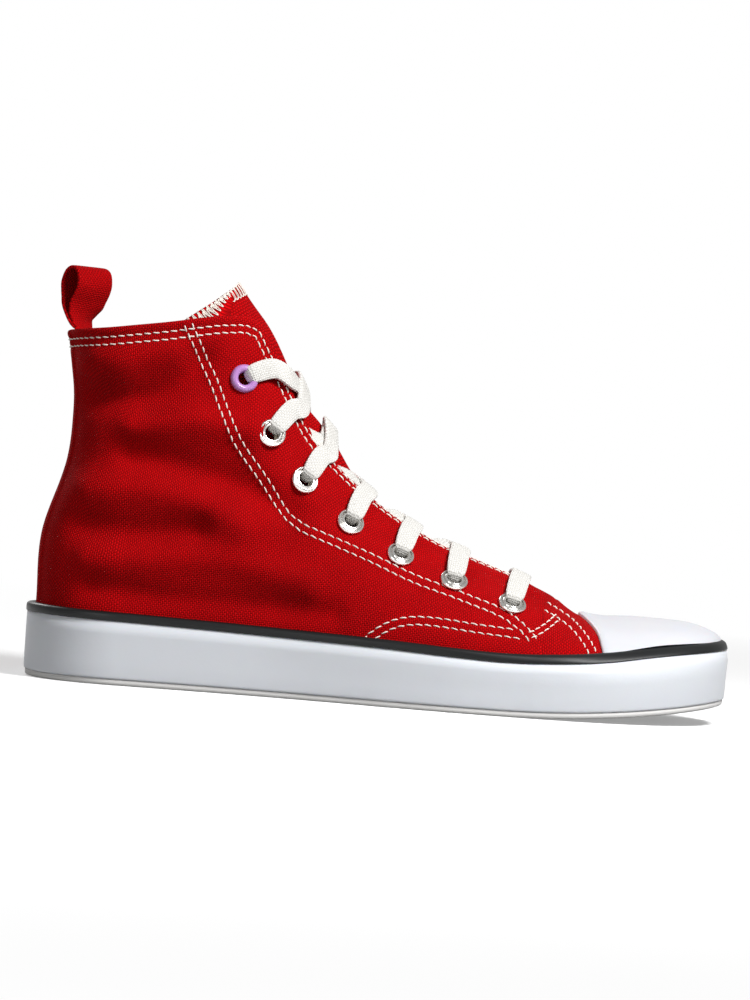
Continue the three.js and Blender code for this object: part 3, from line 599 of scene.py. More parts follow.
EYESTAY = smooth_path(
    [(53.8, 137.9), (56.1, 133.4), (64.2, 118.9), (74.5, 96.3), (87.4, 80.5), (100.9, 64.8), (115, 59.1),
     (132.2, 52.7), (149.4, 46), (166.5, 41.2), (183.6, 35.1), (193.9, 26.8)], 28)
PATCH = smooth_path(
    [(129.5, 23.5), (131.5, 26.3), (138.5, 31.5), (146.6, 34.1), (158.6, 34.3), (175.4, 32.8),
     (189, 31.9)], 20)
VAMP = smooth_path([(191.6, 31.4), (196.7, 34.4), (202.4, 39.2)], 8)
CAP_SEAM = smooth_path([(198.6, 43.2), (204.3, 40.3), (209.9, 36.4), (215.4, 30.1), (218, 25.5)], 10)
edge_x = np.concatenate([np.linspace(10, 76, 12), np.linspace(78, 90, 13), np.linspace(94, 198, 22)])
EDGE = np.column_stack([edge_x, along(TOP_LINE, "z", edge_x)])
ROW_GAP, VAMP_GAP = 2.9, 2.1  # between the two rows of a double seam
EDGE_ROWS = (2.5, 5.3)  # below the edge
for name, seam in (("eyestay", EYESTAY), ("side patch", PATCH), ("vamp", VAMP), ("cap", CAP_SEAM)):
    print(f"{name} seam: {lengths(seam, 0)[-1]:.0f} mm")

# %% [markdown]
# Canvas folds in soft rolls where the ankle bends. Each roll is a path above the heel with a height and a
# width. A ridge lies beside a trough, as in a real fold. The inner side folds a little
# differently, so the same paths are moved and made lower there. The back seam is covered by a narrow
# strip, the backstay.

# %% Creases: x and z of a path, height out of the cloth, width
CREASES = [
    ([(16, 121), (34, 123), (50, 127)], 3.0, 7),
    ([(20, 107), (40, 108), (56, 115), (62, 124)], -3.0, 5.5),
    ([(38, 98), (58, 101), (82, 99)], 3.6, 6.5),
    ([(38, 87), (58, 84), (80, 79), (98, 71)], -3.8, 6.5),
    ([(16, 72), (42, 74), (64, 71), (80, 63)], 3.2, 7),
    ([(18, 59), (42, 58), (64, 61)], -3.2, 6),
    ([(24, 47), (48, 48), (76, 50), (108, 44)], 2.6, 6.5),
    ([(26, 36), (54, 34), (86, 34), (118, 33)], -1.8, 5),
]
BACKSTAY = {"half": 9.5, "thick": 0.6}  # the strip up the back of the heel
CREASE_PATHS = [(smooth_path(path, 8), height, width) for path, height, width in CREASES]
print(len(CREASES), "creases, from", min(c[1] for c in CREASES), "to", max(c[1] for c in CREASES), "mm")


def relief(side, point, v):
    """How far the cloth stands off the form."""
    inner = side > 0
    x, z = point[:, 0] - 5 * inner, point[:, 2] + 4 * inner
    waves = 0.25 * np.sin(x / 7.3 + z / 11.1 + side) * np.sin(x / 13.7 - z / 6.1)
    for path, height, width in CREASE_PATHS:
        off = distance_to(path, x, z)
        waves += np.where(inner, 0.8, 1) * height * np.exp(-((off / width) ** 2))
    waves *= ease(x, 9, 24) * ease(v, 0.08, 0.25) * ease(1 - v, 0.0, 0.09)
    x, y, z = point.T
    backstay = BACKSTAY["thick"] * ease(BACKSTAY["half"] - np.abs(y), 0, 0.9) * (x < HEEL_X)
    return waves + backstay + seam_relief(x, z)


def dent(off, width=0.9):
    return np.exp(-((off / width) ** 2))


def seam_relief(x, z):
    """Thread pulls the cloth down along each row. A turned edge stands up by one ply."""
    seams = (EYESTAY, PATCH, VAMP, CAP_SEAM, EDGE)
    stay, patch, vamp, cap, edge = (distance_to(path, x, z) for path in seams)
    pulled = sum(dent(stay + d) for d in (0, ROW_GAP)) + sum(dent(patch - d) for d in (0, ROW_GAP))
    pulled += sum(dent(vamp - d) for d in (0, VAMP_GAP)) + sum(dent(cap - d) for d in (0, ROW_GAP))
    pulled += sum(dent(edge - d) for d in EDGE_ROWS)
    rolled = 0.35 * ease(2.4 - edge, 0, 1.2) * ease(202 - x, 0, 6)
    plies = 0.5 * ease(1.6 - stay, 0, 1.4) * ease(196 - x, 0, 8)
    plies += 0.45 * ease(patch + 1.4, 0, 1.2) * ease(x, 126, 132) * ease(196 - x, 0, 8)
    return rolled + plies - 0.3 * np.minimum(pulled, 1.2)


def cloth_point(side, q, v, lift=0.0):
    side, q, v = (np.ravel(a).astype(float) for a in np.broadcast_arrays(side, q, v))
    point, normal = form_point(side, q, v), form_normal(side, q, v)
    return point + normal * (relief(side, point, v) + lift)[:, None], normal


# %% [markdown]
# ## 4. The upper
#
# On the shoe it is two plies of canvas, sewn flat and pulled over a last. Here it is one net. Its ribs
# run from the outer side's toe cap, round the heel, to the inner side's, so the weave can follow the
# cloth all the way.

# %% The outer cloth
half_ribs = np.concatenate([np.linspace(0, 1, 52), np.linspace(1, 2, 158)[1:], np.linspace(2, 2.34, 38)[1:]])
rib_side = np.concatenate([-np.ones(len(half_ribs)), np.ones(len(half_ribs) - 1)])
rib_q = np.concatenate([half_ribs[::-1], half_ribs[1:]])
sunk = along(LEVELS, "stripe", feather_point(rib_side, rib_q)[0]) - 4
lowest = rib_at_height(rib_side, rib_q, sunk)
UP_ROWS = 116
climb = np.linspace(0, 1, UP_ROWS)[:, None]
sides = np.broadcast_to(rib_side, (UP_ROWS, len(rib_q)))
skin, skin_normal = cloth_point(sides, np.broadcast_to(rib_q, sides.shape), mix(lowest, 1, climb))
skin, skin_normal = skin.reshape(*sides.shape, 3), skin_normal.reshape(*sides.shape, 3)

# %% [markdown]
# At the collar and the throat the canvas is turned over on itself. A half circle of net continues each
# rib over the edge, which looks like folded cloth and hides the gap to the lining.

# %% The rolled rim
ahead = unit(np.gradient(skin[-1], axis=0))
rim_up = unit(np.cross(ahead, skin_normal[-1]))
rim_up *= np.sign((rim_up * (skin[-1] - skin[-2])).sum(1, keepdims=True))
roll = 1.15 * (1 - ease(rib_q, 1.94, 2.0))[:, None]
angles = np.linspace(0, np.pi, 9)[1:, None, None]
rim = skin[-1] + skin_normal[-1] * (roll * (np.cos(angles) - 1)) + rim_up * roll * np.sin(angles)
net = np.concatenate([skin, rim])
print("upper's net:", net.shape[0], "rows by", net.shape[1], "ribs")


def weave_map(net, level):
    """Millimetres along a net at one level, and up each of its ribs."""
    u = np.broadcast_to(lengths(net[level][:, :2], 0)[None], net.shape[:2])
    return np.stack([u, lengths(net, 0)], -1)


# %% [markdown]
# A hole is punched at each eyelet. A boolean cut would break the even net, so the faces near each
# eyelet's middle are left out instead, and the ring covers the opening's edge.

# %% Eyelet places, and faces clear of their holes
seat_side = np.repeat([-1.0, 1.0], len(EYELETS["x"]))
seat_q, seat_v = seen_at(seat_side, np.tile(np.column_stack([EYELETS["x"], EYELETS["z"]]), (2, 1)))
seat_point, seat_normal = cloth_point(seat_side, seat_q, seat_v)
HOLE = 3.7
apart = np.linalg.norm(np.diff(seat_point[: len(EYELETS["x"])], axis=0), axis=1)
print("eyelets apart on the outer side, mm:", apart.round(1))


def clear_of_holes(points, faces):
    middle = np.reshape(points, (-1, 3))[faces].mean(1)
    to = middle[:, None] - seat_point[None]
    return faces[(np.linalg.norm(to, axis=2) > HOLE).all(1)]


upper_faces = clear_of_holes(net, faces_of(*net.shape[:2]))
make_piece(
    "canvas_upper", net, upper_faces, RED_CANVAS, ["upper"], weave_map(net, UP_ROWS // 2)
)

# %% [markdown]
# Inside the shoe is a second, undyed cloth. It is the same form moved in by one wall, with fewer ribs
# because only its upper part is seen.

# %% The lining
line_half = np.concatenate([np.linspace(0, 1, 30), np.linspace(1, 2, 90)[1:], np.linspace(2, 3, 40)[1:]])
line_side = np.concatenate([-np.ones(len(line_half)), np.ones(len(line_half) - 1)])
line_q = np.concatenate([line_half[::-1], line_half[1:]])
line_climb = np.linspace(0.02, 1, 60)[:, None]
sides = np.broadcast_to(line_side, (60, len(line_q)))
inside = -CANVAS + 0.1
lining_net, _ = cloth_point(sides, np.broadcast_to(line_q, sides.shape), line_climb + 0 * sides, inside)
lining_net = lining_net.reshape(*sides.shape, 3)
make_piece(
    "canvas_lining", lining_net, clear_of_holes(lining_net, faces_of(*sides.shape)), LINING,
    weave=weave_map(lining_net, 30),
)

# %% [markdown]
# Stitches are short rods of thread laid along a row. Each one rises out of its hole and dips into the
# next.


# %% Sewing
STITCH = {"pitch": 3.35, "long": 2.8, "thick": 0.56, "slant": 0.4}


def sew(curve, normal):
    """Stitches along a dense curve on the cloth."""
    reach = lengths(curve, 0)
    count = max(int(reach[-1] / STITCH["pitch"]), 1)
    start = (np.arange(count) + 0.12) * STITCH["pitch"]
    share = np.linspace(0, 1, 7)
    at = start[:, None] + share * STITCH["long"]
    on = lambda values: np.stack([np.interp(at, reach, column) for column in values.T], -1)
    out = unit(on(normal))
    rise = -0.22 + 0.5 * np.sin(np.pi * share) ** 0.6
    line = on(curve)
    across = unit(np.cross(line[:, -1:] - line[:, :1], out))
    return line + out * rise[:, None] + across * (STITCH["slant"] * (share - 0.5))[:, None], out


def sew_path(side, path, step=0.8):
    """Stitches along a path seen from the side."""
    path = spaced(path, max(int(lengths(path, 0)[-1] / step), 4))
    q, v = seen_at(side, path)
    return sew(*cloth_point(side, q, v))


def sew_edge(side, below):
    """Stitches at a distance below the collar and the throat's edge."""
    q = np.linspace(0, 1.965, 420)
    top, normal = form_point(side, q, 1), form_normal(side, q, 1)
    down = unit(np.cross(unit(np.gradient(top, axis=0)), normal)) * -side
    side = side + 0 * q
    return sew(*cloth_point(side, *settle(side, q, 1 - below / 90 + 0 * q, top + down * below, False)))


sewn = []
for side in (-1, 1):
    rows = [offset(EYESTAY, d) for d in (0, -ROW_GAP)] + [offset(PATCH, d) for d in (0, ROW_GAP)]
    rows += [offset(VAMP, d) for d in (0, VAMP_GAP)] + [offset(CAP_SEAM, d) for d in (0, ROW_GAP)]
    sewn += [sew_path(side, row) for row in rows] + [sew_edge(side, below) for below in EDGE_ROWS]
stitch_line, stitch_out = (np.concatenate(parts) for parts in zip(*sewn))
taper = np.array([0.45, 0.85, 1, 1, 1, 0.85, 0.45]) * STITCH["thick"]
points, faces, weave = rods(stitch_line, stitch_out, taper, taper)
make_piece("upper_stitching", points, faces, THREAD, weave=weave)
print(len(stitch_line), "stitches")

# %% [markdown]
# ## 5. Rubber
#
# The toe cap is a moulded shell glued over the vamp. It could be a cut and thickened copy of the upper.
# Instead it is its own net, pushed off the form, so that its edge can thin down and round over where it
# meets the cloth.

# %% Toe cap
cap_edge = CAP_START_Q + np.array([0.0, 0.003, 0.009, 0.02])
cap_half = np.concatenate([[CAP_START_Q + 0.002], cap_edge, np.linspace(2.245, 3, 56)])
cap_side = np.concatenate([-np.ones(len(cap_half)), np.ones(len(cap_half) - 1)])
cap_q = np.concatenate([cap_half, cap_half[-2::-1]])
cap_off = np.concatenate([[-0.4, 0.75, 1.25, 1.55, 1.75], 1.8 + 0.6 * ease(cap_half[5:], 2.24, 2.5)])
cap_off = np.concatenate([cap_off, cap_off[-2::-1]])
cap_low = rib_at_height(cap_side, cap_q, along(LEVELS, "stripe", feather_point(cap_side, cap_q)[0]) - 1.5)
cap_climb = mix(cap_low, 1, np.linspace(0, 1, 44)[:, None])
sides = np.broadcast_to(cap_side, cap_climb.shape)
ribs = np.broadcast_to(cap_q, cap_climb.shape)
cap_net = form_point(sides, ribs, cap_climb) + form_normal(sides, ribs, cap_climb) * np.broadcast_to(
    cap_off, cap_climb.shape
).reshape(-1, 1)
make_piece(
    "rubber_toe_cap", cap_net, faces_of(*cap_climb.shape), CAP_RUBBER, ["toe_cap"]
)

# %% [markdown]
# The foxing is a rubber strip wrapped round the edge of the sole, and the dark stripe is a thinner one on
# top of it. A curve with a bevel would do for an even strip. These change height along the shoe, so a
# section is carried from rib to rib, and its corners are rounded.

# %% Bands round the sole
band_half = np.concatenate([np.linspace(0, 1, 60), np.linspace(1, 2, 110)[1:], np.linspace(2, 3, 90)[1:]])
band_side = np.concatenate([-np.ones(len(band_half)), np.ones(len(band_half) - 2)])
band_q = np.concatenate([band_half, band_half[-2:0:-1]])
band_x = feather_point(band_side, band_q)[0]
stripe_top = along(LEVELS, "stripe", band_x)
FACE = LAYER_GAP + FOXING


def band(name, section, material, node):
    """A band round the sole. Its section is a list of (distance out, height at every rib)."""
    rows = [beside(band_side, band_q, z, out) for out, z in section]
    return make_piece(
        name, rows, faces_of(len(rows), len(band_q), ring=True, loop=True), material, [node]
    )


low, high = ground(band_x) + TREAD_TALL + 0.1, stripe_top - STRIPE_TALL + 0.3
foxing_section = [(0.4, low), (FACE - 0.9, low), (FACE - 0.35, low + 0.12), (FACE - 0.08, low + 0.45)]
foxing_section += [(FACE, low + 1.0)]
foxing_section += [(FACE + 0.12 * np.sin(np.pi * t), mix(low + 1.0, high, t)) for t in (0.25, 0.5, 0.75)]
foxing_section += [(FACE, high), (0.4, high), (0.4, mix(low, high, 0.5))]
band("rubber_foxing", foxing_section, SIDE_RUBBER, "foxing")

PROUD = FACE + STRIPE_PROUD
# distance out and depth below the stripe's top
drop = [(PROUD - 0.5, 3.5), (PROUD - 0.12, 3.42), (PROUD, 3.15), (PROUD + 0.05, 2.2), (PROUD, 1.2)]
drop += [(PROUD - 0.15, 0.75), (PROUD - 0.45, 0.35), (PROUD - 0.9, 0.1), (PROUD - 1.6, 0.0)]
drop += [(0.5, 0.05), (-0.3, 0.3), (-0.3, 3.0)]
stripe_section = [(out, stripe_top - down) for out, down in drop]
band("foxing_dark_stripe", stripe_section, DARK_RUBBER, "foxing_stripe")

# %% [markdown]
# The sole is pressed in a mould. Its underside is one net from edge to edge whose points are pushed up to
# form zigzag grooves, with a plain rim round them and a smooth arch. Real grooves would also do as a
# bump, but they would vanish from the mesh.

# %% Outsole
sole_q = np.concatenate([np.linspace(0, 1, 50), np.linspace(1, 2, 150)[1:], np.linspace(2, 3, 90)[1:]])
LIP = FACE - 0.6
across_share = np.linspace(0, 1, 92)[:, None]
ZIGZAG = {"high": 3.2, "wide": 11, "pitch": 6.5}  # the tread's grooves
MARGIN = (2.5, 3.6)  # plain rim round the tread
ARCH = (74, 78, 130, 134)  # x where the tread stops and starts again under the arch


def lip_rows(side):
    """The lip's face from its top down to the tread's edge."""
    floor = ground(feather_point(side + 0 * sole_q, sole_q)[0])
    heights = [(0.3, TREAD_TALL), (LIP, TREAD_TALL), (LIP, 0.8), (LIP - 0.25, 0.25), (LIP - 0.8, 0)]
    return [beside(side + 0 * sole_q, sole_q, floor + z, out) for out, z in heights]


outer, inner = lip_rows(-1), lip_rows(1)
tread = mix(outer[-1][None], inner[-1][None], across_share[:, :, None])
x, y = tread[..., 0], tread[..., 1]
wave = x + ZIGZAG["high"] * np.abs((y / ZIGZAG["wide"]) % 2 - 1)
cut = ease(0.5 - np.abs((wave / ZIGZAG["pitch"]) % 1 - 0.5), 0.3, 0.4)
rim_gap = np.minimum(np.abs(y - outer[-1][:, 1]), np.abs(y - inner[-1][:, 1]))
arch = ease(x, ARCH[0], ARCH[1]) * ease(x, ARCH[3], ARCH[2])
tread[..., 2] += TREAD_DEEP * cut * ease(rim_gap, *MARGIN) * (1 - arch)
sole_net = np.concatenate([outer, tread, inner[::-1]])
make_piece(
    "rubber_outsole", sole_net, faces_of(*sole_net.shape[:2]), SOLE_RUBBER, ["outsole"]
)

# %% [markdown]
# A thin cloth pad lies on the sole inside the shoe. It is a net between its two edges, raised slightly
# along them where the foot has pressed the middle down.

# %% Insole
INSET = -(CANVAS + 0.6)


def insole_edge(side):
    """The insole's upper edge on one side, just inside the lining."""
    side = side + 0 * sole_q
    level = along(LEVELS, "feather", feather_point(side, sole_q)[0]) + INSOLE_THICK
    return beside(side, sole_q, level, INSET)


spread = np.linspace(0, 1, 40)[:, None, None]
pad = mix(insole_edge(-1)[None], insole_edge(1)[None], spread)
pad[..., 2] += 1.1 * (np.abs(2 * spread[..., 0] - 1) ** 4) - 0.3
make_piece(
    "cloth_insole", pad, faces_of(*pad.shape[:2]), INSOLE, ["insole"], pad[..., :2]
)

# %% [markdown]
# ## 6. Tongue and pull loop
#
# The tongue is a curved strip of canvas under the laces. Bending a flat plane could make it. Here each
# section is an arc square to the crest, from a table of widths, so that it can narrow where the laces
# pull it in.


# %% The tongue
def tongue_point(x, turn, inwards=0.0):
    """turn runs -1 to 1 across the tongue. Sections lie square to its crest."""
    slope = along(TONGUE, "z", x + 0.5) - along(TONGUE, "z", x - 0.5)
    wide, deep = along(TONGUE, "wide", x), along(TONGUE, "deep", x)
    angle = turn * np.radians(along(TONGUE, "reach", x))
    sin, cos = np.sin(angle), np.cos(angle)
    square = np.hypot(deep * sin, wide * cos)
    ripple = 0.45 * np.sin(x / 6.1 + 3 * turn)
    inwards = inwards + ripple * np.sin(2.4 * turn + x / 19) * ease(x, 74, 84)
    down = deep * (1 - cos) + inwards * wide * cos / square
    length = np.hypot(1, slope)
    y = centre(x) + wide * sin - inwards * deep * sin / square
    return np.stack([x + slope / length * down, y, along(TONGUE, "z", x) - down / length], -1)


TONGUE_TOP, TONGUE_END = TONGUE["x"][[0, -1]]
tongue_x = (TONGUE_TOP + (TONGUE_END - TONGUE_TOP) * np.linspace(0, 1, 110) ** 1.25)[:, None]
turn_out = np.linspace(-1, 1, 66)
rounding = np.linspace(0, np.pi, 7)[1:-1]
bulge = 0.012 * np.sin(rounding)
turn_loop = np.concatenate([turn_out, 1 + bulge, turn_out[::-1], -1 - bulge])
depth = TONGUE_THICK * (1 - np.cos(rounding)) / 2
inwards = np.concatenate([0 * turn_out, depth, TONGUE_THICK + 0 * turn_out, depth[::-1]])
tongue_net = tongue_point(tongue_x + 0 * turn_loop, turn_loop + 0 * tongue_x, inwards + 0 * tongue_x)
top_rows = [
    tongue_point(tongue_x[0] - lift + 0 * turn_loop, turn_loop, mix(TONGUE_THICK / 2, inwards, squeeze))
    for lift, squeeze in ((0.42, 0.0), (0.4, 0.35), (0.3, 0.65), (0.15, 0.88))
]
tongue_net = np.concatenate([top_rows, tongue_net])
tongue_faces = faces_of(*tongue_net.shape[:2], ring=True)
tongue_weave = weave_map(tongue_net.transpose(1, 0, 2), 33).transpose(1, 0, 2)
make_piece(
    "canvas_tongue", tongue_net, tongue_faces, RED_CANVAS, ["tongue"], tongue_weave
)


# %% [markdown]
# The tongue's raw edge is bound with overlock stitching: slanted threads that cross the edge and looped
# threads that lock them. They are thin rods laid on the cloth, so they catch light like real thread.

# %% Overlock thread on the tongue's top edge
def tongue_band(turn, deep, lift=0.25):
    """A point on the outer face, deep mm in from the top edge and lift mm off the cloth."""
    top = TONGUE_TOP + 0 * turn
    slope = along(TONGUE, "z", top + 0.5) - along(TONGUE, "z", top)
    return tongue_point(TONGUE_TOP + deep / np.hypot(1, 2 * slope), turn, -lift)


LOCK = {"pitch": 2.3, "deep": 4.9, "thick": 0.34, "looper": 0.46}
CORE = {"x": 76.0, "deep": 12.0}  # well inside the tongue, so that away from it is outward
fine_turn = np.linspace(-0.99, 0.99, 400)
top_reach = lengths(tongue_band(fine_turn, 0 * fine_turn), 0)
count = int(top_reach[-1] / LOCK["pitch"])
turn_at = lambda reach: np.interp(reach, top_reach, fine_turn)
share = np.linspace(0, 1, 9)
threads = []
for lean, start in ((0.5, 0.0), (0.2, 0.75)):
    reach = (np.arange(count)[:, None] * LOCK["pitch"] + start) + lean * share
    deep, lift = LOCK["deep"] * (1 - share) + 0 * reach, 0.2 + 0.15 * np.sin(np.pi * share)
    threads.append(tongue_band(turn_at(reach), deep, lift))
threads = np.concatenate(threads)
middle_turn = turn_at(threads[..., 0] * 0 + top_reach[-1] / 2)
out = unit(threads - tongue_point(np.full(threads.shape[:2], CORE["x"]), middle_turn, CORE["deep"]))
points, faces, weave = rods(threads, out, LOCK["thick"], LOCK["thick"])
make_piece("tongue_overlock_threads", points, faces, THREAD, weave=weave)
reach = np.linspace(0.3, top_reach[-1] - 0.3, 12 * count)
scallop = LOCK["deep"] + 0.75 * np.abs(np.sin(np.pi * reach / LOCK["pitch"])) - 0.2
ripple = 0.35 * np.sin(reach * 2.9) + 0.1
looper = np.stack([tongue_band(turn_at(reach), deep) for deep in (scallop, ripple)])
inner_side = tongue_point(np.full(looper.shape[:2], CORE["x"]), np.stack([turn_at(reach)] * 2), CORE["deep"])
points, faces, weave = rods(looper, unit(looper - inner_side), LOCK["looper"], LOCK["looper"])
make_piece("tongue_looper_threads", points, faces, THREAD, weave=weave)

# %% [markdown]
# The loop is one strap of canvas, bent double, twisted and sewn to the back of the collar. A path with a
# turning face gives the bend and the twist together.

# %% Pull loop
LOOP_HALF = [(0.95, 121, 16.2), (0.95, 129, 15.2), (0.95, 132.8, 14.9), (1.2, 136, 12.8), (1.6, 140, 12.6),
             (2.7, 144.5, 13.4), (4.1, 148, 13.9), (4.7, 151.5, 14.1), (3.2, 155.7, 14.4)]
LOOP = {"width": 17, "thick": 1.5, "top": 157.2, "turn": -44}
LOOP_TWIST, LOOP_SEWN = (130.5, 144), (127, 132)  # heights over which it twists, and stops being sewn flat
loop_up = np.array([(out, x, z) for out, z, x in LOOP_HALF])
loop_path = np.concatenate([loop_up, [(0, loop_up[-1, 1], LOOP["top"])], loop_up[::-1] * (-1, 1, 1)])
loop_path = smooth_path(loop_path, 90)
spin = np.radians(LOOP["turn"]) * ease(loop_path[:, 2], *LOOP_TWIST)
run = unit(np.gradient(loop_path, axis=0))
face = unit(np.column_stack([run[:, 2] * np.cos(spin), run[:, 2] * np.sin(spin), -run[:, 0]]))
loop_line = np.column_stack(
    [loop_path[:, 0] * np.cos(spin) + loop_path[:, 1], loop_path[:, 0] * np.sin(spin), loop_path[:, 2]]
)
points, faces, weave = rods(loop_line[None], face[None], LOOP["width"], LOOP["thick"], sides=44, square=4.0)
collar = cloth_point(1, np.linspace(0, 0.6, 24), 0.985, 0)[0]  # the sewn ends bend with the heel's curve
bend = np.interp(np.abs(points[..., 1]), collar[:, 1], collar[:, 0] - collar[0, 0])
points[..., 0] += bend * (1 - ease(points[..., 2], *LOOP_SEWN))
sewn_bend = bend[points[..., 2] < LOOP_SEWN[0]].max()
print(f"pull loop: its sewn ends bend {sewn_bend:.2f} mm with the collar")
make_piece("canvas_pull_loop", points, faces, RED_CANVAS, ["pull_loop"], weave)

# %% [markdown]
# ## 7. Eyelets and laces
#
# An eyelet is a stamped ring, clenched behind the cloth. A ring is a shape of revolution, so its section
# is a table of radius and height above the cloth, turned about the cloth's own normal at each seat.


# %% Turned rings
def rings(name, numbers, profile, material, nodes, steps=56):
    """One ring for each eyelet number, turned about the cloth's normal."""
    profile = np.asarray(profile)
    angle = np.linspace(0, 2 * np.pi, steps, endpoint=False)
    points, faces = [], []
    one = faces_of(len(profile), steps, ring=True, loop=True)
    for n in numbers:
        normal = seat_normal[n]
        first = unit(np.cross(normal, [0, 0, 1]))
        second = np.cross(normal, first)
        turn = np.cos(angle)[:, None] * first + np.sin(angle)[:, None] * second
        points.append(seat_point[n] + profile[:, :1, None] * turn + profile[:, 1:, None] * normal)
        faces.append(one + len(faces) * len(profile) * steps)
    return make_piece(name, np.concatenate(points), np.concatenate(faces), material, nodes)


ROWS = len(EYELETS["x"])
nickel_ring = [
    (2.75, -2.6), (2.72, 0.9), (2.8, 1.35), (3.0, 1.7), (3.35, 1.8), (3.7, 1.6), (3.95, 1.15), (4.1, 0.8),
    (4.2, 0.78), (4.32, 1.15), (4.55, 1.5), (4.9, 1.5), (5.2, 1.2), (5.42, 0.8), (5.5, 0.35), (5.4, 0.0),
    (4.2, -0.2), (3.3, -0.3), (3.3, -2.4), (4.4, -2.6), (4.4, -3.0), (3.0, -3.1),
]
lilac_ring = [
    (2.5, -2.6), (2.5, 0.7), (2.62, 1.35), (2.95, 1.9), (3.5, 2.25), (4.1, 2.3), (4.7, 2.0), (5.15, 1.5),
    (5.4, 0.85), (5.4, 0.3), (5.2, 0.0), (3.3, -0.2), (3.3, -2.4), (4.4, -2.6), (4.4, -3.0), (2.9, -3.1),
]
names = [f"eyelet_{'lateral' if n < ROWS else 'medial'}_{n % ROWS + 1}" for n in range(2 * ROWS)]
lilac = [n for n in range(2 * ROWS) if n % ROWS == 0]
nickel = [n for n in range(2 * ROWS) if n % ROWS]
rings("nickel_eyelets", nickel, nickel_ring, NICKEL, [names[n] for n in nickel])
rings("lilac_eyelets", lilac, lilac_ring, ENAMEL, [names[n] for n in lilac])

# %% [markdown]
# The lace is one flat ribbon for each crossing. It comes up through its eyelet folded narrow, opens out,
# crosses the tongue and slides under the other edge. A cloth simulation would need a long settling time,
# so each strip follows a few named stops, with a face and a width at each.

# %% Where the lace crosses
# x over the near edge, over the middle, and under the far edge
CROSSINGS = [
    (98.5, 100, 93.5), (110.5, 111.5, 105.5), (126.5, 127, 117.5), (145, 145, 137), (164, 163.5, 156),
    (188, 188, 188),
]
WIDE, THICK, LIFT = 8.0, 1.7, 1.5
ON_TOP, BELOW, BAR_RISE = 3.0, 1.2, 2.1  # above the tongue or the throat's edges, where two strips cross
TUCK_LEAN = 0.35  # how far a tucked strip leans to the side it goes under


def rib_at_edge(x):
    """The rib that meets the throat edge at x."""
    long, lean = BALL_X - HEEL_X, VAMP_X - BALL_X
    return 1 + (np.sqrt(long**2 + 4 * lean * (x - HEEL_X)) - long) / (2 * lean)


def on_stay(n, x, share, lift):
    """A stop on the eyestay: share runs 0 at eyelet n to 1 at the throat edge's x."""
    q, v = mix(seat_q[n], rib_at_edge(x), share), mix(seat_v[n], 1, share)
    point, normal = cloth_point(seat_side[n], q, min(v, 1), lift)
    return point[0], normal[0]


def stop(at, out, wide=WIDE, thick=THICK):
    return np.concatenate([at, unit(np.asarray(out)), [wide, thick]])


def through(n, x, rising):
    """Up out of eyelet n toward the throat edge at x. Stops run from inside the shoe to the open cloth."""
    point, normal = seat_point[n], seat_normal[n]
    toward = unit(on_stay(n, x, 0.45, 0)[0] - point)
    stops = [
        stop(point - normal * 5.5 + toward * 4.0, normal * 0.8 - toward, 4.0, 1.6),
        stop(point - normal * 1.8 + toward * 1.9, normal * 0.2 - toward, 3.7, 1.6),
        stop(point + normal * 1.0 + toward * 2.1, normal * 0.4 - toward, 5.0, 1.6),
        stop(point + normal * 2.5 + toward * 3.9, normal - toward * 0.4, 7.2, 1.7),
        stop(*on_stay(n, x, 0.62, LIFT + 0.7)),
    ]
    return stops if rising else stops[::-1]


def over_middle(x, rise):
    out = unit(np.array([-ridge_slope(x), 0, 1]))
    rest = max(along(TOP_LINE, "z", x), along(TONGUE, "z", x))
    return np.array([x, centre(x), rest + rise / out[2]]), out


def crossing(side, row):
    """The ribbon from one side's eyelet in the row below to the other side, over the tongue."""
    over, crest, under = CROSSINGS[row - 1]
    first, second = (0, ROWS) if side < 0 else (ROWS, 0)
    bar = row == ROWS - 1
    source, goal = first + (ROWS - 1 if bar else row), second + (ROWS - 1 if bar else row - 1)
    rise = BAR_RISE if bar else BELOW if side > 0 else ON_TOP
    stops = through(source, over, True)
    stops += [stop(*on_stay(source, over, 1, LIFT + 0.4)), stop(*over_middle(crest, rise))]
    if bar or row == 1:
        stops.append(stop(*on_stay(goal, under, 1, LIFT + 0.4)))
        return np.array(stops + through(goal, under, False))
    # it slides under the edge at a slant, still running on toward the heel, with its outer side lower
    aside = np.array([0, seat_side[goal], 0])
    edge, normal = on_stay(goal, under + 2, 1, 0)
    edge = edge - aside * 2.4 + normal * (0.6 if row > 2 else 1.8)
    tucked = on_stay(goal, under - 4, 1, 0)[0] + aside * 1.6 - normal * 2.9
    hidden = on_stay(goal, under - 8, 1, 0)[0] + aside * 3.2 - normal * 4.2
    leaning = unit(normal + TUCK_LEAN * aside)
    stops += [stop(edge, leaning, 7.0), stop(tucked, leaning, 5.0), stop(hidden, leaning, 4.0)]
    return np.array(stops)


# %% [markdown]
# A ribbon is a rod with a flattened section. All the strips are made at once from their stops and joined
# in one piece, as one lace is.

# %% The lace
arms = [crossing(side, row) for row in range(1, ROWS - 1) for side in (-1, 1)] + [crossing(-1, ROWS - 1)]
STATIONS = 72
dense = np.stack([smooth_path(arm, STATIONS) for arm in arms])
points, faces, weave = rods(
    dense[..., :3], unit(dense[..., 3:6]), dense[..., 6], dense[..., 7], sides=20, square=2.2
)
lace_long = lengths(dense[..., :3], 1)[:, -1]
print(f"lace: {len(arms)} strips, {lace_long.sum():.0f} mm of ribbon in all, {WIDE} mm wide")
lace_nodes = ["lace_bar"] + [f"lace_cross_{row}" for row in range(1, ROWS - 1)]
make_piece("cotton_lace", points, faces, LACE, lace_nodes, weave)

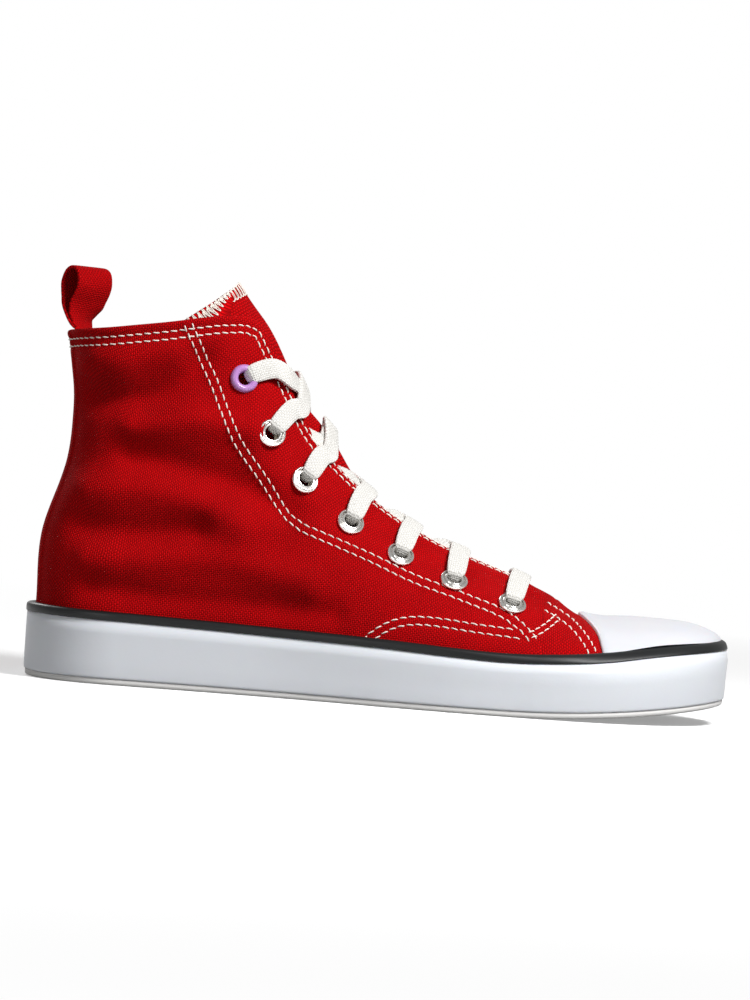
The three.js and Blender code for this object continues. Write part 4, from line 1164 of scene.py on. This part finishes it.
# %% [markdown]
# ## 8. Floor, light and camera
#
# The floor is plain and pale. It fades to even white further out, so no horizon shows. Seen by bounced
# light it is a dull grey, which keeps the underside of the shoe from glowing.

# %% Floor
material, tree, shader = new_material("pale_studio_floor")
place = add_node(tree, "ShaderNodeTexCoord").outputs["Object"]
far = add_node(tree, "ShaderNodeVectorMath", {0: place}, operation="LENGTH").outputs["Value"]
fade = add_node(tree, "ShaderNodeMapRange", {"Value": far, "From Min": 0.25, "From Max": 0.9}).outputs[0]
glow = add_node(tree, "ShaderNodeEmission", {"Color": srgb("#ffffff"), "Strength": 1.0})
shader.inputs["Emission Color"].default_value = srgb("#ffffff")
blend = add_node(tree, "ShaderNodeMixShader", {0: fade, 1: shader.outputs[0], 2: glow.outputs[0]})
bounce = add_node(tree, "ShaderNodeBsdfDiffuse", {"Color": srgb("#8a8a8a")})
soft = add_node(tree, "ShaderNodeLightPath").outputs["Is Diffuse Ray"]
split = add_node(tree, "ShaderNodeMixShader", {0: soft, 1: blend.outputs[0], 2: bounce.outputs[0]})
tree.links.new(split.outputs[0], tree.nodes["Material Output"].inputs["Surface"])
set_values(shader, Base_Color=srgb("#f4f4f4"), Roughness=0.9, Specular_IOR_Level=0.1, Emission_Strength=0.3)
bpy.ops.mesh.primitive_circle_add(vertices=96, radius=12, fill_type="NGON")
floor = bpy.context.object
floor.name = "floor"
floor.data.materials.append(material)

# %% [markdown]
# A shoe is shown best under one large soft lamp with pale surroundings. The key lamp stands to the toe's
# side and high up, so the cloth above the heel falls into shade and its folds show. The surroundings are
# bright to the eye and in reflections, and dim as a lamp.

# %% Light
scene = bpy.context.scene
scene.view_settings.view_transform = "Standard"
world = bpy.data.worlds.new("studio")
scene.world = world
world.use_nodes = True
sky = world.node_tree.nodes["Background"]
path = add_node(world.node_tree, "ShaderNodeLightPath").outputs
shine = add_node(
    world.node_tree, "ShaderNodeMapRange",
    {"Value": path["Is Diffuse Ray"], "To Min": 0.5, "To Max": 0.09},
)
power = add_node(
    world.node_tree, "ShaderNodeMapRange",
    {"Value": path["Is Camera Ray"], "To Min": shine.outputs[0], "To Max": 1.0},
)
sky.inputs["Color"].default_value = srgb("#ffffff")
world.node_tree.links.new(power.outputs[0], sky.inputs["Strength"])


def soft_light(name, place, aim, size, power):
    data = bpy.data.lights.new(name, "AREA")
    data.shape, data.size, data.energy = "DISK", size, power
    lamp = bpy.data.objects.new(name, data)
    lamp.location = place
    lamp.rotation_euler = (Vector(aim) - Vector(place)).to_track_quat("-Z", "Y").to_euler()
    scene.collection.objects.link(lamp)


soft_light("key", (0.34, -0.38, 0.56), (0.03, 0, 0.06), 0.26, 6.4)
soft_light("heel_fill", (-0.5, -0.8, 0.3), (-0.08, 0, 0.07), 0.4, 1.6)
soft_light("back", (-0.6, 0.9, 0.8), (0.0, 0, 0.06), 0.6, 6)
print("lamps, W:", {lamp.name: round(lamp.energy, 1) for lamp in bpy.data.lights})

# %% [markdown]
# A long lens far away keeps the shoe's proportions true. The camera is turned a few degrees about its
# line of sight.

# %% Camera: square on to the outer side, rolled so that the toe dips
ROLL, DISTANCE = np.radians(4.2), 1.5
AIM = Vector((-0.0045, 0.0, 0.0765))
LOOK_DOWN = 0.012  # how much higher than its aim the camera stands, for each metre away
VIEW_WIDE = 0.2885  # metres across the view at the shoe
camera_data = bpy.data.cameras.new("camera")
camera_data.sensor_fit, camera_data.sensor_width = "HORIZONTAL", 36
camera_data.lens = 36 * DISTANCE / VIEW_WIDE
camera = bpy.data.objects.new("camera", camera_data)
right = Vector((np.cos(ROLL), 0, np.sin(ROLL)))
back = Vector((0, -1, LOOK_DOWN)).normalized()
right = (right - right.dot(back) * back).normalized()
camera.matrix_world = Matrix.Translation(AIM + DISTANCE * back) @ Matrix(
    (right, back.cross(right), back)
).transposed().to_4x4()
scene.collection.objects.link(camera)
scene.camera = camera
print(f"lens: {camera_data.lens:.0f} mm from {DISTANCE} m")
